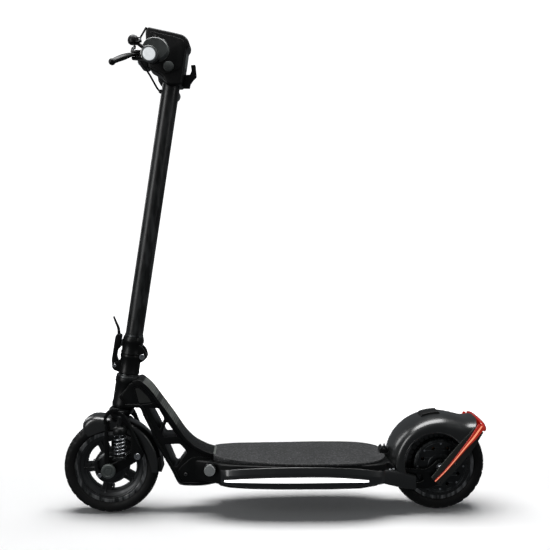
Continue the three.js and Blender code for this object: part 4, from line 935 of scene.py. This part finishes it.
CROWN = [(-24, -51), (8, -51), (22, -30), (26, 0), (22, 30), (8, 51), (-24, 51), (-30, 30), (-27, 0),
    (-30, -30)]
plate("fork_crown", CROWN, 249.2, 262.4, "steering", "satin_black", edge=3.4, radius=9, plane="leanslab",
    stands_for=("fork",))
LEG = [(-395, 261), (-364, 256), (-350, 236), (-338, 205), (-320, 166), (-318, 150), (-328, 138),
    (-340, 139), (-347, 152), (-347, 206), (-358, 226), (-394, 247)]
for side, tag in SIDES:
    plate("fork_leg_" + tag, LEG, *across(side, 41.2, 51), "steering", "satin_black", edge=3, radius=10)
    plate("fork_horn_" + tag, HORN, *across(side, 46.7, 51), "steering", "satin_black", edge=1.6, radius=4)
    turn("spring_dome_" + tag, [(0, 224), (6, 223.4), (12, 221), (15.6, 217), (16.5, 212.5), (16.5, 206),
        (15.6, 204.6), (14, 204.3), (0, 205.5)], (SPRING_X, side * SPRING_Y, 0), (0, 0, 1), "steering",
        "satin_black", sides=64)
    turn("spring_post_" + tag, [(0, 218), (7, 218), (6.2, 224), (6.2, 246), (0, 250)],
        (SPRING_X, side * SPRING_Y, 0), (0, 0, 1), "steering", "satin_black", sides=40)
    turn("spring_rod_" + tag, [(0, 190), (2.2, 190), (2.2, 206), (0, 206)], (SPRING_X, side * SPRING_Y, 0),
        (0, 0, 1), "steering", "steel", sides=24)
    turn("spring_sleeve_" + tag, [(5.0, 148), (7.0, 148), (7.0, 184), (6.4, 185), (5.0, 185), (5.0, 148)],
        (SPRING_X, side * SPRING_Y, 0), (0, 0, 1), "front_suspension", "dark_metal", sides=24)
    turn("link_bolt_sleeve_" + tag, [(0, 33), (5, 33), (5, 52), (0, 52)], (LINK_PIVOT[0], 0, LINK_PIVOT[1]),
        (0, side, 0), "steering", "steel", sides=24)
    bolt("link_bolt_" + tag, (LINK_PIVOT[0], side * 51, LINK_PIVOT[1]), (0, side, 0), 8.0, "steering",
        height=3.4)
    coil = []
    for i in range(int(COIL_TURNS * COIL_STEPS) + 1):
        angle = 2 * math.pi * i / COIL_STEPS
        rise = i / (COIL_TURNS * COIL_STEPS)
        z = 150.6 + 51.5 * (0.04 + 0.92 * rise if 0.1 < rise < 0.9 else (rise * 0.9 + 0.045 if rise <= 0.1
            else rise * 0.9 + 0.055))
        coil.append((SPRING_X + 13 * math.cos(angle), side * SPRING_Y + 13 * math.sin(angle),
            min(z, 202.2)))
    spring = tube("coil_" + tag, coil, 1.9, "steering", "steel", per=1, sides=12,
        stands_for=("spring_" + tag,))
    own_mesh(spring)

# -------------------------------------------------------------------- fold joint
turn("fold_base_body", [(15.4, 345.3), (24, 345.3), (25.5, 347), (25.5, 351), (24.6, 353), (24.6, 385),
    (25.5, 387), (25.5, 390), (24.4, 392.4), (15.4, 392.4), (15.4, 345.3)], LEAN_ORIGIN, LEAN_S, "steering",
    "satin_black", sides=80, stands_for=("fold_base",))
plate("fold_knuckle", [(-345, 369), (-334, 364), (-320, 371), (-312, 379), (-313, 390), (-322, 392.4),
    (-331, 388), (-345, 384)], -8.9, 8.9, "steering", "satin_black", edge=1.6, radius=5)
for side, tag in SIDES:
    plate("latch_lug_" + tag, [(-20, 346.5), (-35, 350), (-40.5, 357), (-39, 366), (-20, 377)],
        *across(side, 10, 14), "steering", "satin_black", edge=0.9, radius=4, plane="lean")
    plate("fold_ear_" + tag, [(-331, 376), (-322, 373.6), (-313, 379), (-312.6, 387), (-316, 399),
        (-329, 413), (-346, 413), (-343, 396)], *across(side, 9.4, 17.3), "stem", "satin_black", edge=1.4,
        radius=6)
    bolt("fold_pin_head_" + tag, (FOLD_PIN[0], side * 17.4, FOLD_PIN[1]), (0, side, 0), 7.0, "steering",
        height=3.2)
turn("fold_pin_shaft", [(0, -17.5), (4, -17.5), (4, 17.5), (0, 17.5)], (FOLD_PIN[0], 0, FOLD_PIN[1]),
    (0, 1, 0), "steering", "steel", sides=24, stands_for=("fold_pin",))
turn("stem_collar_body", [(19.8, 393.1), (24.4, 393.1), (25.5, 394.6), (25.5, 399), (24.4, 401),
    (24.4, 421), (25.5, 423), (25.5, 429), (24.4, 432), (23.4, 436), (19.8, 436), (19.8, 393.1)],
    LEAN_ORIGIN, LEAN_S, "stem", "satin_black", sides=80, stands_for=("stem_collar",))
plate("latch_catch", [(-20, 407), (-27.8, 410), (-27.8, 425), (-20, 429)], -8, 8, "stem", "dark_metal",
    edge=1.2, radius=3, plane="lean")
plate("latch_body", [(-27, 356), (-34, 353.6), (-41, 358), (-44, 372), (-43.4, 430), (-40, 438),
    (-28.6, 436), (-28.6, 404), (-34, 398), (-34, 382), (-28.6, 372)], -9.5, 9.5, "latch", "dark_metal",
    edge=1.8, radius=4, plane="lean", stands_for=("latch_lever",), look=LOOKS["satin_black"])
tube("latch_blade", [lean(-36, 434), lean(-40, 450), lean(-47.5, 463), lean(-55, 476)],
    [(8.6, 3.6), (7.4, 3.0), (6.6, 2.4), (6.4, 1.8)], "latch", "dark_metal", up=(1, 0, 0),
    look=LOOKS["satin_black"])
for side in (-1, 1):
    bolt("latch_pin_head_" + ("l" if side < 0 else "r"), lean(-34, 361, side * 13.8), (0, side, 0), 4.2,
        "latch", height=1.6)
turn("stem_skin", [(18, 397), (21, 397), (21, 1040), (20.6, 1046.6), (18, 1046.6), (18, 397)], LEAN_ORIGIN,
    LEAN_S, "stem", "satin_black", sides=96, stands_for=("stem_tube",), look=STEM_PAINT)
turn("stem_band", [(21.1, 437.4), (22.1, 437.4), (22.1, 441.5), (21.1, 441.5), (21.1, 437.4)], LEAN_ORIGIN,
    LEAN_S, "stem", "dark_metal", sides=80)

# ----------------------------------------------------------------------- cockpit
HEAD = [(-299, 1160.5), (-243, 1149), (-217, 1143), (-208, 1136), (-202.5, 1127), (-203.5, 1116),
    (-208.5, 1110), (-216.8, 1055), (-221, 1027.5), (-258, 1027.5), (-263, 1044), (-276, 1054),
    (-298, 1066), (-303, 1110), (-304, 1150)]
plate("head_shell", HEAD, -34, 34, "stem", "dark_plastic", edge=4.5, radius=6, stands_for=("head_housing",))
HEAD_CHEEK = [(-295, 1150), (-238, 1138), (-214, 1130), (-214, 1112), (-224, 1064), (-256, 1050),
    (-289, 1072)]
plate("head_cheek_left", HEAD_CHEEK, -35.4, -33, "stem", "dark_plastic", edge=1.1, radius=9)
plate("head_cheek_right", HEAD_CHEEK, 33, 35.4, "stem", "dark_plastic", edge=1.1, radius=9)
turn("head_side_boss", [(0, 41), (9, 41), (11.4, 40), (12, 37), (12, 34), (0, 34)], (-250.5, 0, 1068.7),
    (0, -1, 0), "stem", "dark_plastic", sides=56, look=POD_SKIN)
back_strip = [(-213, 1104), (-208.4, 1104), (-213.8, 1068), (-218.4, 1068)]
plate("head_back_strip", back_strip, -24, 24, "stem", "dark_plastic", edge=0.9, radius=1.5, look=POD_SKIN)
lens_rings = []
for i in range(9):
    t = i / 8
    centre = Vector((-291.6, 0, 1159)).lerp(Vector((-238.4, 0, 1148)), t)
    lift = 0.5 * math.sin(math.pi * t)
    lens_rings.append([centre + Vector((0, y, h + lift)) for y, h in [(-26.6, -2.0), (-26.6, -0.6),
        (-25.6, 0), (0, 0.9), (25.6, 0), (26.6, -0.6), (26.6, -2.0)]])
loft("display_window", lens_rings, "stem", "display_glass", stands_for=("display_lens",), crease=30)
plate("lamp_housing", [(-303.5, 1109), (-299, 1068), (-316, 1069), (-324.8, 1082), (-324.8, 1104),
    (-317, 1112.4)], -22, 22, "stem", "dark_plastic", edge=3.2, radius=5, stands_for=("headlight_housing",))
lamp_rings = []
for x, grow in [(-323.6, 1.0), (-325.4, 0.97), (-326.4, 0.86), (-326.7, 0.6), (-326.8, 0.1)]:
    lamp_rings.append([(x, 16.4 * grow * math.copysign(abs(math.cos(a)) ** 0.6, math.cos(a)), 1092.5
        + 12.6 * grow * math.copysign(abs(math.sin(a)) ** 0.6, math.sin(a)))
        for a in [2 * math.pi * k / 48 for k in range(48)]])
loft("lamp_window", lamp_rings, "stem", "white_light", stands_for=("headlight_lens",), look=LAMP_LENS,
    crease=50)

BAR = Vector((0.08825, 0.97616, -0.19803))
BAR_START = Vector((-283, 60, 1085))


def bar_point(side, distance, out=(0, 0, 0)):
    point = BAR_START + BAR * distance + Vector(out)
    return Vector((point.x, side * point.y, point.z))


def bar_axis(side):
    return Vector((BAR.x, side * BAR.y, BAR.z))


tube("bar", [bar_point(-1, 172), bar_point(-1, 120), bar_point(-1, 60), bar_point(-1, 14),
    (-283, -44, 1086), (-283, 0, 1086), (-283, 44, 1086), bar_point(1, 14), bar_point(1, 60),
    bar_point(1, 120), bar_point(1, 172)], 11.1, "stem", "satin_black", per=6, sides=28,
    stands_for=("handlebar",))
for side, tag in SIDES:
    profile = [(11.3, 82), (15.8, 82), (17, 83), (17, 86), (15.6, 87.4)]
    place = 88.0
    while place < 163:
        profile += [(15.6, place), (16.4, place + 0.5), (16.4, place + 2.1), (15.6, place + 2.6)]
        place += 3.6
    profile += [(15.6, 166), (17, 167.2), (17, 171), (16, 172.6), (11.3, 172.6), (11.3, 82)]
    turn("grip_ribs_" + tag, profile, bar_point(side, 0), bar_axis(side), "stem", "grip_rubber", sides=64,
        stands_for=("grip_" + tag,))
    turn("bar_lamp_bezel_" + tag, [(0, 173.4), (15.8, 173.4), (17, 174.6), (17, 183), (16, 185),
        (14.2, 185.6), (13.2, 183.4), (0, 183)], bar_point(side, 0), bar_axis(side), "stem", "white_light",
        sides=72, look=LAMP_BEZEL, stands_for=("bar_lamp_" + tag,))
    turn("bar_lamp_glass_" + tag, [(0, 186.2), (5, 186.0), (9, 185.4), (12, 184.4), (13.2, 183),
        (0, 182.8)], bar_point(side, 0), bar_axis(side), "stem", "white_light", sides=72, look=LAMP_LENS)

# left side: switches, brake, bell
pod = [(-306, 1086), (-305, 1104), (-297, 1117), (-282, 1124), (-262, 1121.5), (-248, 1111), (-243, 1096),
    (-250, 1080), (-266, 1071), (-290, 1072)]
pod_middle = Vector((-275, 1098))
pod_rings = []
for y, grow in [(-58, 0.7), (-62, 0.9), (-66, 0.985), (-71, 1.0), (-82, 1.0), (-86, 0.97), (-88, 0.9),
        (-88.2, 0.4)]:
    pod_rings.append([(pod_middle.x + (p.x - pod_middle.x) * grow, y, pod_middle.y
        + (p.y - pod_middle.y) * grow) for p in rounded(pod, 9, 6)])
loft("switch_pod_shell", pod_rings, "stem", "dark_plastic", stands_for=("switch_pod",), crease=30,
    look=POD_SKIN)
turn("switch_clamp", [(11.3, 4), (17, 4), (18, 5.4), (18, 26), (17, 27.4), (11.3, 27.4), (11.3, 4)],
    bar_point(-1, 0), bar_axis(-1), "stem", "dark_plastic", sides=64)
turn("power_button_cap", [(0, 2.6), (2.6, 2.6), (4.2, 1.8), (4.3, -3), (0, -3)], (-255, -78, 1116.25),
    (0.6, 0, 0.8), "power_button", "dark_plastic", sides=40, stands_for=("power_button",))
turn("power_button_ring", [(4.7, -1), (6.4, -1), (6.4, 0.7), (5.8, 1.2), (4.7, 1.0), (4.7, -1)],
    (-255, -78, 1116.25), (0.6, 0, 0.8), "stem", "dark_metal", sides=48)
plate("turn_switch_cap", [(-277.6, 1121.4), (-271.6, 1121.4), (-271.8, 1127.4), (-274.6, 1128.2),
    (-277.4, 1127.4)], -81, -75, "turn_switch", "dark_plastic", edge=0.8, radius=1,
    stands_for=("turn_switch",))
turn("perch_ring", [(11.3, 52), (14.8, 52), (15.5, 53), (15.5, 69), (14.8, 70), (11.3, 70), (11.3, 52)],
    bar_point(-1, 0), bar_axis(-1), "stem", "satin_black", sides=64, stands_for=("brake_perch",))
for low, high, tag in ((1064, 1069.8, "low"), (1078.2, 1084, "top")):
    plate("perch_arm_" + tag, [(-284, -110), (-284, -126), (-308, -127), (-322, -124), (-322, -112),
        (-308, -109)], low, high, "stem", "satin_black", edge=1.6, radius=4, plane="xy")
bolt("perch_pivot", (-313, -118, 1083.6), (0, 0, 1), 4.4, "stem", height=2.2)
turn("perch_adjuster", [(0, 0), (3.6, 0), (3.6, 6), (4.8, 6.6), (4.8, 12), (3.2, 13), (3.0, 20), (0, 20)],
    (-322, -113, 1083), (0.12, 0.35, 0.4), "stem", "dark_metal", sides=32)
tube("lever_blade", [(-308, -117, 1074), (-316, -122, 1074), (-324, -131, 1071.5), (-333, -160, 1060),
    (-342, -182, 1050), (-349, -199, 1041.5)], [(4, 3.4), (6.2, 3.4), (8.2, 5), (8.2, 6.6), (7, 6.2),
    (5.6, 5.6)], "brake_lever", "satin_black", sides=20, stands_for=("brake_lever",))
turn("lever_ball", [(0, -7.3)] + [(7.4 * math.cos(math.radians(a)), 7.4 * math.sin(math.radians(a)))
    for a in range(-70, 80, 10)] + [(0, 7.4)], (-349.5, -201, 1040.5), (0, 0.9, 0.4), "brake_lever",
    "satin_black", sides=40)
turn("bell_clamp", [(11.3, 32), (14.4, 32), (15, 33), (15, 41), (14.4, 42), (11.3, 42), (11.3, 32)],
    bar_point(-1, 0), bar_axis(-1), "stem", "dark_metal", sides=56, look=LOOKS["dark_plastic"])
tube("bell_post", [(-286, -97, 1086), (-298, -98, 1095), (-309, -98.6, 1103), (-317, -99, 1107.6)],
    [(6, 5), (5, 4.4), (4.6, 4), (4.6, 3.6)], "stem", "dark_metal", look=LOOKS["dark_plastic"])
turn("bell_dome", [(0, 1101.6), (8, 1102), (11.6, 1105), (12.9, 1109.5), (12.7, 1113), (11.2, 1117.6),
    (8, 1121.3), (4, 1123.2), (1.6, 1123.5), (0, 1123.5)], (-321, -99, 0), (0, 0, 1), "stem", "dark_metal",
    sides=72, stands_for=("bell",), look=LOOKS["dark_plastic"])
plate("bell_arm", [(-317, -94), (-301, -106), (-300, -112), (-307, -113), (-323, -103)], 1105, 1108.5,
    "stem", "dark_metal", edge=0.7, radius=2, plane="xy")
tube("striker_arm", [(-303, -108.4, 1113.6), (-308, -111.5, 1114.4), (-314, -113.8, 1113.2)],
    [(2.2, 1.5), (1.9, 1.3), (2.4, 1.9)], "bell_striker", "dark_plastic", sides=14,
    stands_for=("bell_striker",))
turn("striker_pin", [(0, 1108.8), (2.4, 1108.8), (2.6, 1109.6), (2.6, 1115), (2.0, 1116), (0, 1116)],
    (-304, -109, 0), (0, 0, 1), "bell_striker", "steel", sides=24)
tube("striker_thumb", [(-304, -109, 1114.5), (-298, -108.2, 1125), (-291, -107, 1137)],
    [(2.2, 2.2), (2.4, 2.2), (3.2, 2.4)], "bell_striker", "dark_plastic", sides=16)

# right side: throttle
turn("throttle_body", [(11.3, 60), (16.8, 60), (18, 61.2), (18, 65), (17, 66), (17, 74), (18, 75),
    (18, 78.8), (16.8, 80), (11.3, 80), (11.3, 60)], bar_point(1, 0), bar_axis(1), "stem", "dark_plastic",
    sides=64, stands_for=("throttle_housing",))
turn("throttle_ring", [(11.3, 44), (14.4, 44), (15.5, 45.2), (15.5, 57.8), (14.4, 59), (11.3, 59),
    (11.3, 44)], bar_point(1, 0), bar_axis(1), "throttle", "dark_plastic", sides=64,
    stands_for=("throttle_lever",))
thumb = bar_point(1, 51.5)
tube("throttle_paddle", [thumb + Vector((10, 0, -8)), thumb + Vector((20, -1.4, -15)), thumb
    + Vector((32, -4, -20))], [(5, 3.4), (5.6, 3.0), (7.6, 2.6)], "throttle", "dark_plastic",
    up=(0.6, 0, 0.8), sides=20)
tube("cable_line", [(-320, -109, 1089), (-317, -96, 1084), (-306, -76, 1066), (-295, -46, 1050),
    (-287, -22, 1035), (-281, -7, 1024), (-275.6, -1, 1018)], 2.4, "stem", "cable_black", sides=16,
    stands_for=("brake_cable",))
turn("cable_gland", [(0, -3), (5, -3), (5, 2), (3.6, 5), (2.5, 6), (0, 6)], (-272.4, -0.6, 1017.2),
    (-0.96, -0.12, 0.14), "stem", "cable_black", sides=24)
HOOK = [(-216.3, 1056.5), (-203.5, 1056.5), (-199.5, 1066), (-201.5, 1079), (-190.5, 1080), (-188, 1052),
    (-196, 1044), (-203, 1034), (-204, 1025), (-221, 1025), (-219, 1040)]
plate("hook_piece", HOOK, -6, 6, "stem", "dark_plastic", edge=1.3, radius=2.4, stands_for=("stem_hook",))

# ------------------------------------------------------------------------ studio
def stage_surface(name, color):
    """Pale floor that glows towards its far edges, so only the part near the object shows shadow."""
    look = bpy.data.materials.new(name)
    look.use_nodes = True
    tree = look.node_tree
    shader = tree.nodes["Principled BSDF"]
    place = tree.nodes.new("ShaderNodeTexCoord").outputs["Object"]
    faint = noise(tree, place, 3.0, 3.0)
    tree.links.new(ramp(tree, faint, [(0.3, shade(color, 0.985)), (0.7, color)]),
        shader.inputs["Base Color"])
    tree.links.new(spread(tree, faint, 0.82, 0.9), shader.inputs["Roughness"])
    squeeze = tree.nodes.new("ShaderNodeMapping")
    squeeze.inputs["Scale"].default_value = (0.62, 1.0, 1.0)
    tree.links.new(place, squeeze.inputs["Vector"])
    length = tree.nodes.new("ShaderNodeVectorMath")
    length.operation = "LENGTH"
    tree.links.new(squeeze.outputs["Vector"], length.inputs[0])
    far = tree.nodes.new("ShaderNodeMapRange")
    far.interpolation_type = "SMOOTHSTEP"
    far.inputs["From Min"].default_value = 0.45
    far.inputs["From Max"].default_value = 1.5
    tree.links.new(length.outputs["Value"], far.inputs["Value"])
    tree.links.new(ramp(tree, far.outputs["Result"], [(0.0, (0.02, 0.02, 0.02)), (1.0, (1, 1, 1))]),
        shader.inputs["Emission Color"])
    shader.inputs["Emission Strength"].default_value = 1.0
    shader.inputs["Specular IOR Level"].default_value = 0.0
    return look


sweep_line = [(-6.0, 0.0), (3.2, 0.0), (3.9, 0.12), (4.4, 0.5), (4.65, 1.1), (4.7, 2.0), (4.7, 6.0)]
sweep_line = [tuple(p[:2]) for p in catmull([(y, z, 0) for y, z in sweep_line[1:]], 6)]
sweep_line = [(-6.0, 0.0)] + sweep_line
backdrop = bpy.data.meshes.new("backdrop")
backdrop.from_pydata([(x, y, z) for y, z in sweep_line for x in (-9.0, 9.0)], [],
    [(2 * i, 2 * i + 1, 2 * i + 3, 2 * i + 2) for i in range(len(sweep_line) - 1)])
backdrop.materials.append(stage_surface("look_backdrop", (0.93, 0.93, 0.93)))
backdrop.shade_smooth()
floor = bpy.data.objects.new("backdrop", backdrop)
bpy.context.scene.collection.objects.link(floor)
floor.visible_diffuse = False
floor.visible_glossy = False

world = bpy.data.worlds.new("studio")
bpy.context.scene.world = world
world.use_nodes = True
world.node_tree.nodes["Background"].inputs["Color"].default_value = (0.9, 0.95, 1.0, 1)
world.node_tree.nodes["Background"].inputs["Strength"].default_value = 0.1


def softbox(name, place, target, width, height, power, shine_only=False, color=(1, 1, 1)):
    data = bpy.data.lights.new(name, "AREA")
    data.shape = "RECTANGLE"
    data.size = width
    data.size_y = height
    data.energy = power
    data.color = color
    lamp = bpy.data.objects.new(name, data)
    bpy.context.scene.collection.objects.link(lamp)
    lamp.location = place
    lamp.visible_diffuse = not shine_only
    lamp.rotation_euler = (Vector(target) - Vector(place)).to_track_quat("-Z", "Y").to_euler()


softbox("top_box", (0.0, 0.1, 2.7), (0, 0, 0), 2.6, 1.5, 92)
softbox("key_box", (-2.4, -2.2, 2.0), (-0.1, 0, 0.4), 1.3, 1.9, 7)
softbox("left_shine", (-2.1, -1.7, 1.3), (-0.2, 0, 0.5), 0.8, 2.2, 26, shine_only=True)
softbox("side_box", (2.6, -1.6, 1.5), (0.1, 0, 0.3), 0.7, 1.5, 7, shine_only=True)
softbox("rim_box", (-2.2, 2.0, 1.6), (0, 0, 0.6), 0.7, 1.8, 12, shine_only=True)

# The camera stands level with the neck on the left side, in metres
CAMERA_PLACE = (-0.0523, -1.7475, 0.6851)
CAMERA_FORWARD = Vector((0.02914, 0.99775, -0.06046))
camera_data = bpy.data.cameras.new("camera")
camera_data.lens = 47.17
camera_data.sensor_width = 36.0
camera_data.clip_end = 60.0
camera = bpy.data.objects.new("camera", camera_data)
bpy.context.scene.collection.objects.link(camera)
camera.location = CAMERA_PLACE
camera.rotation_euler = CAMERA_FORWARD.to_track_quat("-Z", "Y").to_euler()
bpy.context.scene.camera = camera
bpy.context.scene.view_settings.view_transform = "Standard"
bpy.context.scene.view_settings.look = "None"
